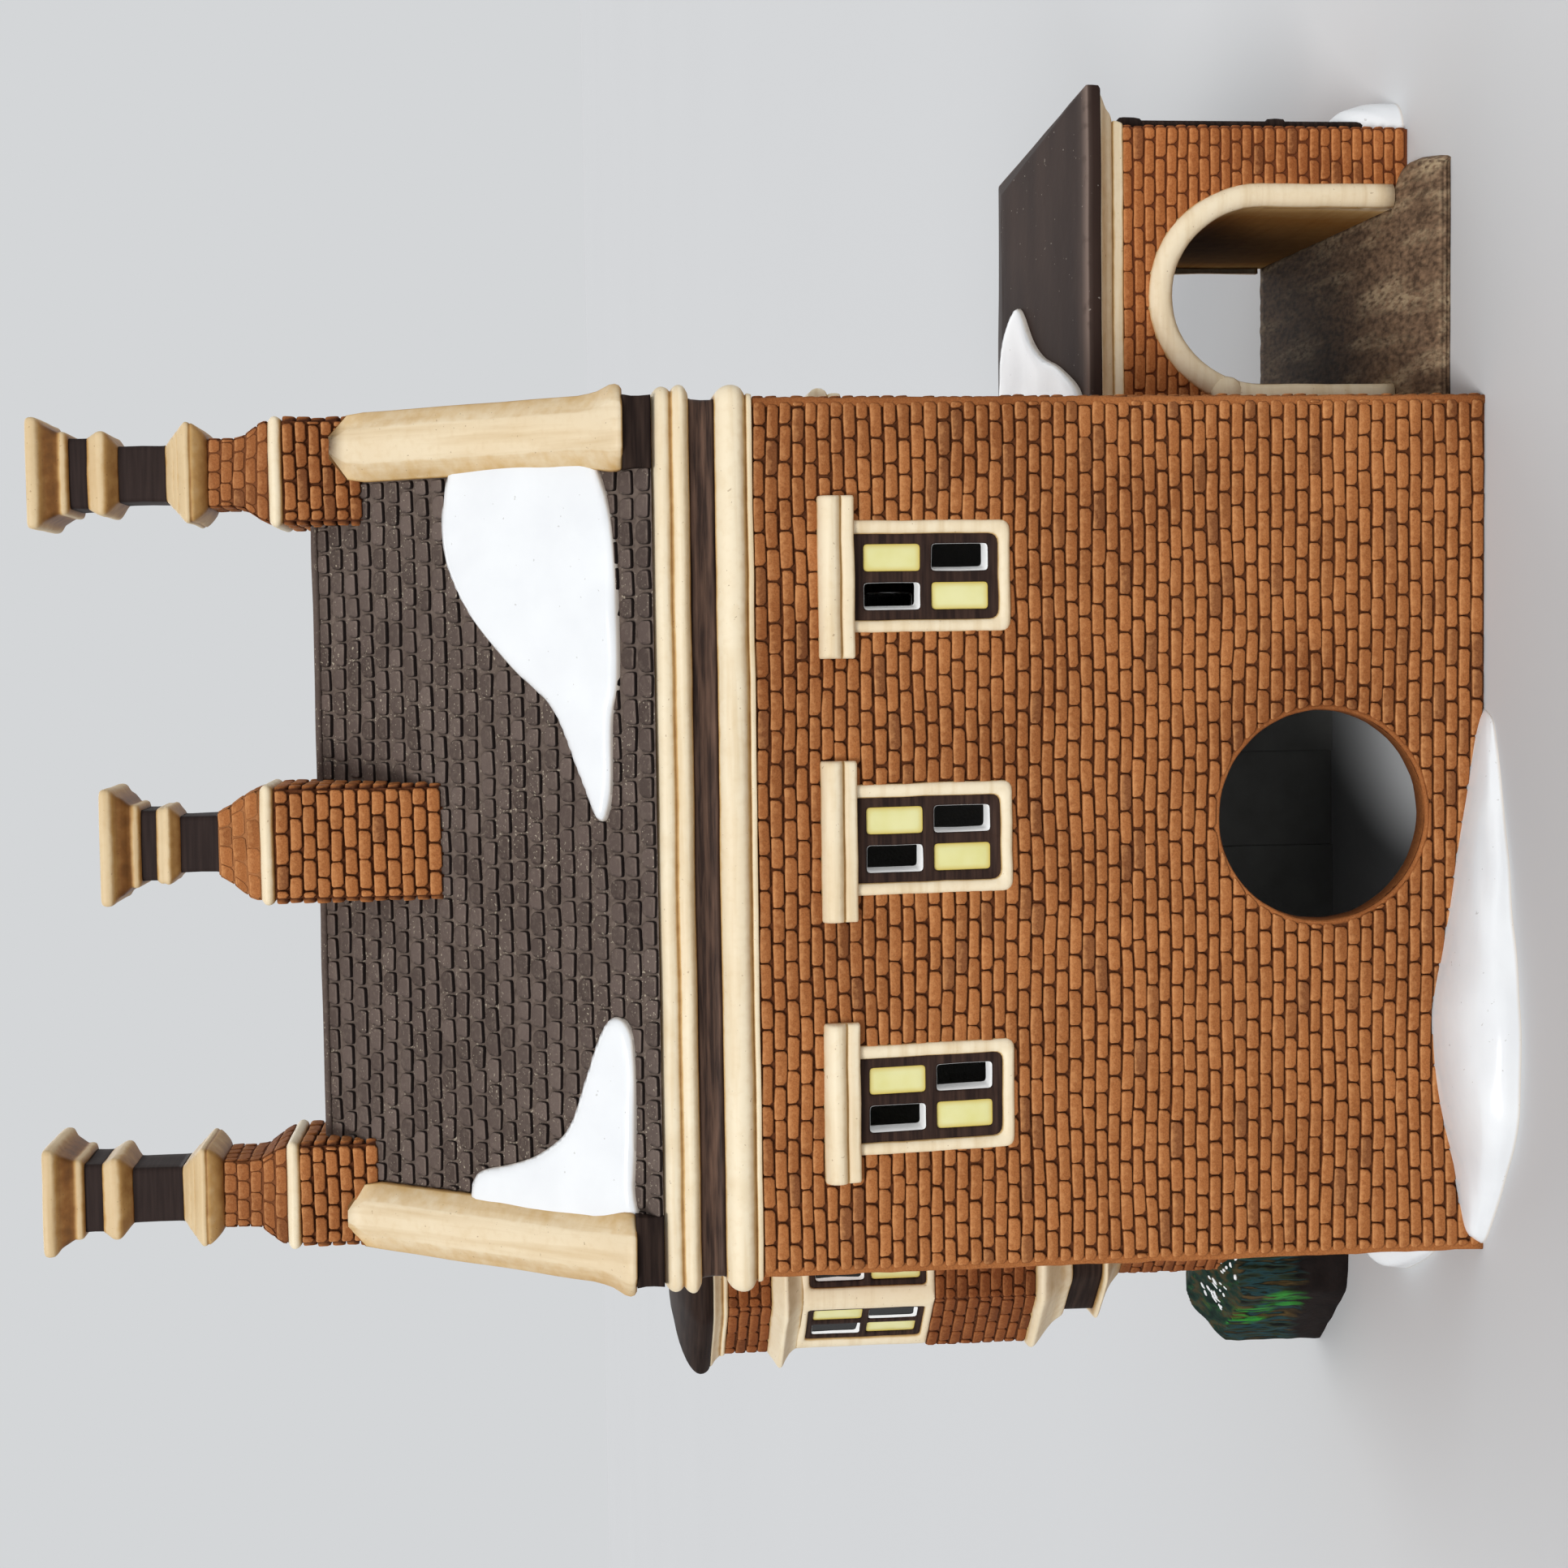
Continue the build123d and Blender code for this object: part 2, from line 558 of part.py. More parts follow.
def turret():
    """The turret's pieces from the ground up, as (name, levels)."""
    under_belt = CORBEL_LOW_H * (1 - CORBEL_SHOULDER - CORBEL_SWELL)
    corbel = levels_from(PIER_H, (0, PIER_R), (CORBEL_LOW_H * CORBEL_SHOULDER, PIER_R + CORBEL_NECK),
                         (CORBEL_LOW_H * CORBEL_SWELL, BELT_R + CORBEL_NECK), (under_belt, BELT_R),
                         (BELT_H, BELT_R), (FIT, BELT_R + CORBEL_NECK),
                         (CORBEL_UP_H * CORBEL_FLARE - FIT, TURRET_R + CORBEL_NECK),
                         (CORBEL_UP_H * (1 - CORBEL_FLARE), TURRET_R))
    low_drum = levels_from(corbel[-1][0], (0, TURRET_R), (LOW_DRUM_H, TURRET_R))
    stage = levels_from(low_drum[-1][0], (0, TURRET_R + SURROUND_OUT), (STAGE_SILL_H, TURRET_R),
                        (STAGE_H - STAGE_SILL_H, TURRET_R), (HOOD_H * HOOD_FLARE, TURRET_R + HOOD_OUT),
                        (HOOD_H * (1 - HOOD_FLARE), TURRET_R))
    up_drum = levels_from(stage[-1][0], (0, TURRET_R), (UP_DRUM_H, TURRET_R))
    crown = levels_from(up_drum[-1][0], (0, TURRET_R), (TURRET_CORNICE_H, TURRET_R + TURRET_CORNICE_OUT))
    roof_r = TURRET_R + TURRET_ROOF_OUT
    roof = levels_from(crown[-1][0], (0, roof_r - SURROUND_OUT),
                       *[(TURRET_ROOF_H * rise, roof_r * share) for rise, share in TURRET_ROOF_STEPS])
    pier = levels_from(0, (0, PIER_R), (PIER_H, PIER_R))
    return [("pier", pier), ("corbel", corbel), ("lower_drum", low_drum), ("window_stage", stage),
            ("upper_drum", up_drum), ("cornice", crown), ("roof", roof)]


TURRET_PIECES = turret()
STAGE_SILL_Z = TURRET_PIECES[3][1][1][0] + (STAGE_H - STAGE_SILL_H - TURRET_SASH_H) / 2
TURRET_TURNS = (0, -45, -90, -135, -180)
turret_faces = [Pos(TURRET_X, TURRET_Y, STAGE_SILL_Z) * Rot(0, 0, turn) * Pos(0, TURRET_R, 0)
                for turn in TURRET_TURNS]
envelope = house_envelope()
for index, (label, levels) in enumerate(TURRET_PIECES):
    piece = octagon(TURRET_X, TURRET_Y, levels) - envelope
    if index:
        piece -= spigot(TURRET_X, TURRET_Y, levels[0][0], FIT)
    if index < len(TURRET_PIECES) - 1:
        piece += spigot(TURRET_X, TURRET_Y, levels[-1][0])
    parts["turret_" + label] = piece

pocket = block(-TURRET_SASH_W / 2 - FIT, TURRET_SASH_W / 2 + FIT, 2 * SASH_SET_IN, -SASH_SET_IN - SASH_T,
               -FIT, TURRET_SASH_H + FIT)
for face in turret_faces:
    parts["turret_window_stage"] -= face * pocket
    sashes.append(face * sash(TURRET_SASH_W, TURRET_SASH_H, open_panes=True))

parts["opening_surrounds"] = Compound(surrounds)
parts["lintels"] = Compound(lintels)
parts["window_sashes"] = Compound(sashes)


# Carriage porch
def arch(half, spring, crown, bottom):
    """The outline of an arched opening, as a face in (x, z)."""
    left, right = ARCH_CX - half, ARCH_CX + half
    edges = [Line((left, bottom), (left, spring)),
             ThreePointArc((left, spring), (ARCH_CX, crown), (right, spring)),
             Line((right, spring), (right, bottom)), Line((right, bottom), (left, bottom))]
    return make_face(edges)


def porch_block():
    body = block(PORCH_X0, -HALF_W - FIT, PORCH_Y0, PORCH_Y1, 0, PORCH_H)
    return body - along_y(arch(ARCH_HALF, ARCH_SPRING, ARCH_CROWN, -FIT), PORCH_Y0 + FIT, PORCH_Y1 - FIT)


def arch_trim(y0, y1, lip):
    """The moulding round one mouth of the archway."""
    foot_z = ARCH_TRIM_FOOT + DRIVE_RISE * lip
    outer = arch(ARCH_HALF + ARCH_TRIM_W, ARCH_SPRING, ARCH_CROWN + ARCH_TRIM_W, foot_z)
    inner = arch(ARCH_HALF - ARCH_LIP * lip, ARCH_SPRING, ARCH_CROWN - ARCH_LIP * lip, 0)
    return along_y(outer, y0, y1) - along_y(inner, y0 + FIT, y1 - FIT)


def skirt(z0, z1, out0, out1):
    """A tapered slab over the porch that stops at the house wall."""
    near, far = PORCH_Y0, PORCH_Y1
    middle = (near + far) / 2
    wide = HALF_W + PORCH_W
    slab = loft([Pos(-wide / 2, middle, z) * Rectangle(wide + 2 * out, PORCH_D + 2 * out)
                 for z, out in ((z0, out0), (z1, out1))], ruled=True)
    return slab & block(-HOUSE_W - TALL, -HALF_W - FIT, TALL, -TALL, 0, TALL)


def porch_hip():
    """The low hipped roof over the porch, its ridge running out from the house."""
    middle = (PORCH_EAVE_Y + PORCH_FRONT_EAVE_Y) / 2
    ridge_z = PORCH_EAVE_Z + PORCH_RIDGE_H
    wall_x, outer_x = -HALF_W - FIT, PORCH_X0 - FASCIA_OUT
    across = [(PORCH_EAVE_Y, PORCH_EAVE_Z), (middle, ridge_z), (PORCH_FRONT_EAVE_Y, PORCH_EAVE_Z)]
    end = Polygon((wall_x, PORCH_EAVE_Z), (wall_x, ridge_z), (outer_x + PORCH_HIP, ridge_z), (outer_x, PORCH_EAVE_Z),
                  align=None)
    return along_x(across, outer_x, wall_x) & along_y(end, PORCH_EAVE_Y, PORCH_FRONT_EAVE_Y)


ROOF_Z0 = PORCH_H + PORCH_CORNICE_H
PORCH_EAVE_Z = ROOF_Z0 + FASCIA_H
PORCH_EAVE_Y = PORCH_Y0 + FASCIA_OUT
PORCH_FRONT_EAVE_Y = PORCH_Y1 - FASCIA_OUT
parts["porch_block"] = porch_block()
parts["porch_rear_arch"] = arch_trim(PORCH_Y0 + ARCH_TRIM_OUT, PORCH_Y0, 0)
parts["porch_front_arch"] = arch_trim(PORCH_Y1, PORCH_Y1 - ARCH_TRIM_OUT, 1)
parts["porch_cornice"] = skirt(PORCH_H, ROOF_Z0, 0, PORCH_CORNICE_OUT)
parts["porch_roof"] = skirt(ROOF_Z0, PORCH_EAVE_Z, FASCIA_OUT - FIT, FASCIA_OUT) + porch_hip()


def porch_drive():
    """The drive through the archway, rising to the front, with a wider apron behind."""
    back = PORCH_Y0 + APRON_D
    wedge = [(back, 0), (back, DRIVE_T), (PORCH_Y1, DRIVE_T + DRIVE_RISE), (PORCH_Y1, 0)]
    lane = along_x(wedge, ARCH_CX - ARCH_HALF + FIT, ARCH_CX + ARCH_HALF - FIT)
    apron = along_x(wedge, -HALF_W - FIT - APRON_W, -HALF_W - FIT)
    return lane + (apron & block(-HOUSE_W, HOUSE_W, back, PORCH_Y0 + FIT, 0, TALL))


def downpipe():
    """A round pipe on the porch's outer wall, its head and collar flat against the wall."""
    y = PORCH_Y0 - PIPE_SETBACK
    top = PORCH_H - FIT
    pipe = Pos(PIPE_X, y, (PIPE_Z + top) / 2) * Cylinder(PIPE_D / 2, top - PIPE_Z)
    pipe += Pos(PIPE_X, y, top - PIPE_HEAD_H / 2) * Cylinder(PIPE_HEAD_D / 2, PIPE_HEAD_H)
    pipe += Pos(PIPE_X, y, PIPE_COLLAR_Z) * Cylinder(PIPE_HEAD_D / 2, PIPE_COLLAR_H)
    return pipe & block(PORCH_X0, -HOUSE_W - TALL, TALL, -TALL, 0, TALL)


parts["porch_drive"] = porch_drive()
parts["downpipe"] = downpipe()


# Bush
def bush():
    levels = levels_from(0, (0, BUSH_R), *[(BUSH_H * rise, BUSH_R * share) for rise, share in BUSH_STEPS])
    pier_gap = octagon(TURRET_X, TURRET_Y, [(-FIT, PIER_R + FIT), (PIER_H, PIER_R + FIT)])
    return octagon(TURRET_X + BUSH_OUT, TURRET_Y - BUSH_FORWARD, levels) - pier_gap


parts["bush"] = bush()


# Snow
def patch(plane, points):
    """A flat patch of snow with a soft outline, lying on a slope."""
    return extrude(plane * make_face(Spline(points, periodic=True)), SNOW_T)


ROOF_PLANE = Plane(origin=(0, EAVE_OUT, EAVE_Z), x_dir=(-1, 0, 0), z_dir=(0, sin(SLOPE), cos(SLOPE)))
COPING_X = HALF_W + COPING_OVER - COPING_W - FIT
turret_patch = [(TURRET_SNOW_L * along - COPING_X, SNOW_UP * up) for along, up in TURRET_SNOW]
porch_patch = [(COPING_X - PORCH_SNOW_L * along, SNOW_UP * up) for along, up in PORCH_SNOW]
inside_copings = block(-COPING_X, COPING_X, TALL, -TALL, 0, TALL)
foot_gap = FIT + COPING_FOOT_IN
foot_x = COPING_X - foot_gap
foot_top = EAVE_Z + KNEELER_H + COPING_FOOT_H + FIT
feet = block(foot_x, HOUSE_W, TALL, -TALL, 0, foot_top) + block(-HOUSE_W, -foot_x, TALL, -TALL, 0, foot_top)
parts["roof_snow_turret_end"] = patch(ROOF_PLANE, turret_patch) & inside_copings - feet
parts["roof_snow_porch_end"] = patch(ROOF_PLANE, porch_patch) & inside_copings - feet

PORCH_SLOPE = atan2(2 * PORCH_RIDGE_H, PORCH_EAVE_Y - PORCH_FRONT_EAVE_Y)
PORCH_PLANE = Plane(origin=(-HALF_W, PORCH_EAVE_Y, PORCH_EAVE_Z), x_dir=(-1, 0, 0),
                    z_dir=(0, sin(PORCH_SLOPE), cos(PORCH_SLOPE)))
hip_patch = [(HIP_SNOW_L * along, HIP_SNOW_UP * up) for along, up in HIP_SNOW]
hip_limit = block(-HOUSE_W, -HALF_W - FIT, TALL, (PORCH_EAVE_Y + PORCH_FRONT_EAVE_Y) / 2, 0, TALL)
parts["porch_roof_snow"] = patch(PORCH_PLANE, hip_patch) & hip_limit


def drift(x, y, long, out, high, along):
    """A quarter of an egg lying against a wall, long one way and reaching out the other."""
    radii = (long, out, high) if along == "x" else (out, long, high)
    return Pos(x, y, 0) * scale(Sphere(1), by=radii)


rear_space = block(-HOUSE_W, HOUSE_W, FIT, TALL, 0, TALL)
end_space = block(HALF_W + FIT, HOUSE_W, TALL, -TALL, 0, TALL)
pier_space = block(PORCH_X0 - FIT, -HOUSE_W * 2, TALL, -TALL, 0, TALL)
hole_guard = Pos(LAMP_HOLE_X, 0, LAMP_HOLE_Z) * Rot(90, 0, 0) * Cylinder(LAMP_HOLE_D / 2, TALL)
rear_drift = drift(DRIFT_X, 0, DRIFT_L, DRIFT_OUT, DRIFT_H, "x")
rear_drift += drift(DRIFT_TAIL_X, 0, DRIFT_TAIL_L, DRIFT_TAIL_OUT, DRIFT_TAIL_H, "x")
parts["rear_drift"] = rear_drift & rear_space - hole_guard
side_drift = drift(HALF_W, -SIDE_DRIFT_SETBACK, SIDE_DRIFT_L, SIDE_DRIFT_OUT, SIDE_DRIFT_H, "y")
parts["side_drift"] = side_drift & end_space
pier_y = PORCH_Y0 - PIER_DRIFT_SETBACK
pipe_guard = Pos(PIPE_X, PORCH_Y0 - PIPE_SETBACK, 0) * Cylinder(PIPE_D / 2 + FIT, TALL)
pier_drift = drift(PORCH_X0, pier_y, PIER_DRIFT_L, PIER_DRIFT_OUT, PIER_DRIFT_H, "y") & pier_space
parts["pier_drift"] = pier_drift - pipe_guard

# The origin goes to the middle of the base, and each piece is written out
whole = Compound(list(parts.values())).bounding_box()
centred = Pos(-(whole.min.X + whole.max.X) / 2, -(whole.min.Y + whole.max.Y) / 2, -whole.min.Z)
os.makedirs("parts", exist_ok=True)
for name, piece in parts.items():
    export_step(centred * piece, "parts/" + name + ".step")
print("pieces", len(parts), "size", whole.size, "shift", centred.position)
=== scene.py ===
"""Looks of the ceramic village house: painted brick, cream mouldings, slates, leaves, snow and a studio."""

import math
import random
from typing import NamedTuple

import bmesh
import bpy
from mathutils import Matrix, Vector, noise


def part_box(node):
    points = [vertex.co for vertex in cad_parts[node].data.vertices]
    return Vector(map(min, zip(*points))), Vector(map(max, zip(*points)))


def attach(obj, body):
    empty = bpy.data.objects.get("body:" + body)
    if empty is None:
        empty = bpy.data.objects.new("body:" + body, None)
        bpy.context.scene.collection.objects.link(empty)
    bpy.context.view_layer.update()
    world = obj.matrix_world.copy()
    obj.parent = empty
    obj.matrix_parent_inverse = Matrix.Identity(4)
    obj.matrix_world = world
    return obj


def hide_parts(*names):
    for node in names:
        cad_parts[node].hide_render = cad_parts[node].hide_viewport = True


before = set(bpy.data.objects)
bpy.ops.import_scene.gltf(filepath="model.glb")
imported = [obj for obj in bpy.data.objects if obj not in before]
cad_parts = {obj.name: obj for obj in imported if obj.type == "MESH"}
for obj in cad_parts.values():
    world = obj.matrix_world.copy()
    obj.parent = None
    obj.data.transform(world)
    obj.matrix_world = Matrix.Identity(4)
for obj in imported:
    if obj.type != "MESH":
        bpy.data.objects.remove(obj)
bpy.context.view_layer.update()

# The noise that makes the mouldings uneven is the same in every run
noise.seed_set(1)

# Sizes of the house in mm, with the middle at x 0 and the rear face at y 0
MM = 0.001
HALF_W, DEPTH = 65.0, 74.0
WALL_H, WALL_T = 111.2, 3.0
LOW_CORNICE_Z, FRIEZE_Z, UP_CORNICE_Z = 111.2, 116.8, 120.5
EAVE_Z, EAVE_OUT = 126.1, 1.8
RIDGE_Z, RIDGE_Y = 177.9, -37.0
SLOPE = math.atan2(RIDGE_Z - EAVE_Z, EAVE_OUT - RIDGE_Y)
COPING_IN, COPING_W = 55.4, 10.8
KNEELER_X, KNEELER_H = 60.3, 4.1
HOLE_X, HOLE_Z, HOLE_R = -2.2, 25.3, 16.0
WINDOW_X, SILL_Z, LOWER_SILL_Z = (-38.9, 0.0, 38.9), 74.8, 22.0
END_WINDOW_X = -13.0
SASH_W, SASH_H = 12.7, 21.6
DOOR_W, DOOR_H = 17.0, 36.0
CHIMNEY_X, CHIMNEY_W, CHIMNEY_D, CHIMNEY_BACK = 57.25, 15.5, 18.0, 31.0
MIDDLE_X, MIDDLE_W, MIDDLE_D, MIDDLE_BACK = 0.6, 16.8, 16.8, 22.2
BAND_H, MOULDING_H = 2.1, 6.6
TURRET_X, TURRET_Y, TURRET_R, PIER_R = 76.1, -70.3, 18.8, 8.5
STAGE_Z, STAGE_TOP = 77.0, 100.2
TURRET_SASH_W, TURRET_SASH_H = 10.4, 20.3
PORCH_X0, PORCH_Y0, PORCH_Y1, PORCH_H = -111.7, -33.0, -98.0, 47.6
PORCH_LIP_Z, PORCH_RISE = 54.75, 6.4
ARCH_X, ARCH_HALF, ARCH_SPRING, ARCH_CROWN = -84.7, 14.4, 24.5, 39.7

# Bricks and slates: heights of courses, lengths, joints, how far they stand out and where they end
COURSE, BRICK_L, JOINT, PROUD = 1.95, 5.3, 0.16, 0.6
CHIMNEY_LAY = {"proud": 0.75, "course": 2.15, "length": 4.4}
NECK_LAY = {"proud": 0.22, "length": 4.4}
PORCH_LAY = {"proud": 0.45, "course": 1.8}
BRICK_FOOT, CORNER_SEAM = 0.2, 0.35
SLATE_ROW, SLATE_W, SLATE_HALF = 2.9, 3.65, 55.2

# A gap that keeps painted pieces clear of the house's faces
CLEAR = 0.1

wall_low, wall_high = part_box("rear_wall")
MID_X = (wall_low[0] + wall_high[0]) / 2
FACE_Y = wall_high[1]


def srgb(r, g, b):
    """A colour given as screen values from 0 to 255, in linear light."""
    linear = [c / 255 / 12.92 if c < 11 else ((c / 255 + 0.055) / 1.055) ** 2.4 for c in (r, g, b)]
    return (*linear, 1.0)


class Paint:
    """A material's graph. Each call adds nodes and returns their output."""

    def __init__(self, name, roughness=0.6, specular=0.3, coat=0.0):
        self.material = bpy.data.materials.new(name)
        self.material.use_nodes = True
        self.tree = self.material.node_tree
        self.shader = self.tree.nodes["Principled BSDF"]
        settings = {"Roughness": roughness, "Specular IOR Level": specular, "Coat Weight": coat}
        for socket, value in settings.items():
            self.shader.inputs[socket].default_value = value
        self.coords = self.add("TexCoord").outputs["Object"]

    def add(self, kind):
        return self.tree.nodes.new("ShaderNode" + kind)

    def feed(self, socket, value):
        """Links an output to a socket, or sets the socket, colours as screen values."""
        if isinstance(value, bpy.types.NodeSocket):
            self.tree.links.new(value, socket)
        else:
            socket.default_value = srgb(*value) if socket.type == "RGBA" else value

    def read(self, name):
        node = self.add("Attribute")
        node.attribute_name = name
        return node.outputs["Fac"]

    def noise(self, size, detail=2.0, stretch=(1, 1, 1)):
        """Noise with features of about a size in mm, drawn out where a stretch is under 1."""
        mapping, node = self.add("Mapping"), self.add("TexNoise")
        mapping.inputs["Scale"].default_value = stretch
        self.feed(mapping.inputs["Vector"], self.coords)
        self.feed(node.inputs["Vector"], mapping.outputs["Vector"])
        node.inputs["Scale"].default_value = 1 / (size * MM)
        node.inputs["Detail"].default_value = detail
        return node.outputs["Fac"]

    def calc(self, operation, a, b):
        node = self.add("Math")
        node.operation = operation
        self.feed(node.inputs[0], a)
        self.feed(node.inputs[1], b)
        return node.outputs["Value"]

    def times(self, a, b):
        return self.calc("MULTIPLY", a, b)

    def uneven(self, value, size, detail, amount, stretch=(1, 1, 1)):
        """A value moved up and down by noise."""
        around = self.calc("SUBTRACT", self.noise(size, detail, stretch), 0.5)
        return self.calc("ADD", value, self.times(around, amount))

    def axes(self, vector):
        node = self.add("SeparateXYZ")
        self.feed(node.inputs["Vector"], vector)
        return node.outputs

    def facing_down(self):
        """How far the surface faces down: 1 for an underside and -1 for a top."""
        return self.times(self.axes(self.add("NewGeometry").outputs["Normal"])["Z"], -1.0)

    def within(self, middle, reach):
        """1 where the place is within a reach of the middle along each axis, and else 0."""
        place, found = self.axes(self.coords), 1.0
        for axis, centre, most in zip("XYZ", middle, reach):
            away = self.calc("ABSOLUTE", self.calc("SUBTRACT", place[axis], centre), 0.0)
            found = self.times(found, self.calc("LESS_THAN", away, most))
        return found

    def ramp(self, value, *stops):
        node = self.add("ValToRGB")
        self.feed(node.inputs["Fac"], value)
        points = node.color_ramp.elements
        while len(points) < len(stops):
            points.new(0.5)
        for point, (place, colour) in zip(points, stops):
            point.position = place
            point.color = srgb(*colour)
        return node.outputs["Color"]

    def step(self, value, low, high):
        """A value drawn out so that low becomes 0 and high becomes 1."""
        node = self.add("MapRange")
        self.feed(node.inputs["Value"], value)
        node.inputs["From Min"].default_value = low
        node.inputs["From Max"].default_value = high
        return node.outputs["Result"]

    def mix(self, factor, a, b, amount=1.0, blend="MIX"):
        node = self.add("Mix")
        node.data_type = "RGBA"
        node.blend_type = blend
        self.feed(node.inputs[0], factor if amount == 1.0 else self.times(factor, amount))
        self.feed(node.inputs[6], a)
        self.feed(node.inputs[7], b)
        return node.outputs[2]

    def tinted(self, colour, tint):
        return self.mix(1.0, colour, tint, blend="MULTIPLY")

    def done(self, colour, height=None, depth=0.05):
        """Joins the colour and a bump of a depth in mm to the shader."""
        self.feed(self.shader.inputs["Base Color"], colour)
        if height is not None:
            bump = self.add("Bump")
            bump.inputs["Distance"].default_value = depth * MM
            self.feed(bump.inputs["Height"], height)
            self.feed(self.shader.inputs["Normal"], bump.outputs["Normal"])
        return self.material


def brick_paint(name="brick", shade=(255, 255, 255), joint=(66, 33, 16)):
    """Clay of many tones, dark in the joints, with a painted highlight on the upper edges and painted shade
    on the lower edges.
    """
    p = Paint(name, roughness=0.8, specular=0.15)
    grain = p.noise(0.24, 3)
    clay = p.ramp(p.read("tone"), (0.0, (146, 92, 54)), (0.04, (152, 96, 55)), (0.09, (174, 110, 61)),
                  (1.0, (188, 121, 69)))
    clay = p.mix(p.step(p.noise(26, 3), 0.45, 0.72), clay, p.tinted(clay, (212, 202, 194)))
    clay = p.mix(p.step(grain, 0.25, 0.85), p.tinted(clay, (202, 191, 183)), clay)
    level = p.uneven(p.read("rise"), 0.7, 2, 0.35)
    # Painted highlight where the rise is over 1, along the upper edges of the bricks
    clay = p.mix(p.step(level, 1.0, 1.3), clay, (222, 160, 104), amount=0.75)
    # Dark joints where the rise is low, reaching onto each brick's lower edge as painted shade
    clay = p.mix(p.step(level, 0.1, 0.9), joint, clay)
    return p.done(p.tinted(clay, shade), grain, 0.06)


def mortar_paint():
    """The dark wash of the joints outside, and inside the house the bare casting, given a mid grey as painted
    shade.
    """
    p = Paint("joint_wash", roughness=0.9, specular=0.1)
    grain = p.noise(0.5, 3)
    joint = p.ramp(grain, (0.3, (70, 37, 19)), (0.7, (104, 60, 34)))
    # Mid grey instead of porcelain white: painted shade for the dark inside of the house
    bare = p.ramp(p.noise(6, 3), (0.3, (138, 137, 134)), (0.7, (150, 149, 146)))
    reach = (HALF_W - WALL_T + 0.05, DEPTH / 2 - WALL_T / 2, WALL_H)
    lining = p.within((MID_X, FACE_Y + RIDGE_Y * MM, 0), [most * MM for most in reach])
    return p.done(p.mix(lining, joint, bare), grain, 0.06)


def cream_paint(name="cream", shade=(255, 255, 255), roughness=0.5, specular=0.3, mottle=0.3,
                stroke=(0.06, 0.06, 1)):
    """Cream with brush strokes and flecks, brown in its hollows from a wash and painted shade, and browner on
    its undersides as painted shade.
    """
    p = Paint(name, roughness, specular)
    grain = p.noise(1.2, 4)
    base = p.ramp(p.noise(14, 3), (0.3, (234, 215, 181)), (0.62, (239, 224, 194)), (0.8, (226, 205, 168)))
    base = p.mix(p.step(grain, 0.5, 0.85), base, (214, 186, 138), amount=0.3)
    base = p.mix(p.step(p.noise(1.6, 4, stroke), 0.48, 0.72), base, (208, 180, 134), amount=0.5)
    base = p.mix(p.step(p.noise(0.55, 1), 0.755, 0.765), base, (140, 104, 66), amount=0.45)
    # Darker where the rise is low: a brown wash in the hollows, together with painted shade in hollows,
    # creases and where pieces meet
    wash = p.ramp(p.uneven(p.read("rise"), 2.2, 3, mottle), (0.0, (46, 29, 16)), (0.28, (162, 124, 78)),
                  (0.6, (231, 209, 168)), (0.82, (255, 255, 255)))
    base = p.tinted(p.tinted(base, wash), shade)
    # Browner on surfaces that face down: painted shade, with some wash
    under = p.step(p.uneven(p.facing_down(), 1.8, 3, 0.5), 0.3, 0.95)
    base = p.mix(under, base, p.tinted(base, (190, 160, 112)), amount=0.6)
    return p.done(base, grain, 0.025)


def slate_dust(p, low, high):
    """Where pale specks lie, which come in drifts."""
    return p.times(p.step(p.noise(0.42, 1), low, high), p.step(p.noise(7, 2), 0.4, 0.6))


def slate_paint():
    p = Paint("slate", roughness=0.8, specular=0.15)
    base = p.ramp(p.read("tone"), (0.0, (82, 70, 64)), (1.0, (108, 94, 87)))
    base = p.mix(p.step(p.noise(30, 2), 0.4, 0.75), base, p.tinted(base, (226, 222, 222)))
    base = p.mix(p.step(p.noise(0.8, 3), 0.5, 0.75), base, (122, 109, 98), amount=0.4)
    base = p.mix(slate_dust(p, 0.66, 0.72), base, (182, 170, 150), amount=0.75)
    # Dark where the rise is low, at the slate's edges: a painted shadow under its thick lower edge and
    # painted shade along its left edge
    base = p.mix(p.step(p.read("rise"), 0.1, 0.7), (28, 21, 19), base)
    # Pale where the rise is over 1, just above the lower edge: a painted highlight, broken up by noise like
    # dry-brushed wear
    wear_and_painted_light = p.times(p.step(p.read("rise"), 1.0, 1.2), p.step(p.noise(1.4, 2), 0.3, 0.6))
    return p.done(p.mix(wear_and_painted_light, base, (134, 118, 108), amount=0.5), p.noise(0.35, 4), 0.08)


def slate_bed_paint():
    p = Paint("slate_bed", roughness=0.85, specular=0.1)
    base = p.ramp(p.noise(1.1, 4), (0.3, (85, 73, 66)), (0.7, (114, 100, 91)))
    return p.done(p.mix(slate_dust(p, 0.64, 0.7), base, (186, 174, 154), amount=0.75), p.noise(0.35, 4), 0.1)


def dark_paint(name="dark_brown", base=(34, 25, 22), brushed=(56, 43, 37), roughness=0.6, specular=0.05):
    p = Paint(name, roughness, specular)
    colour = p.ramp(p.noise(0.6, 4, (0.06, 0.06, 1)), (0.36, base), (0.72, brushed))
    # Darker where the rise is low, at edges, creases and grooves: painted shade
    return p.done(p.mix(p.step(p.read("rise"), 0.0, 0.6), (24, 18, 17), colour), p.noise(0.8, 3), 0.02)


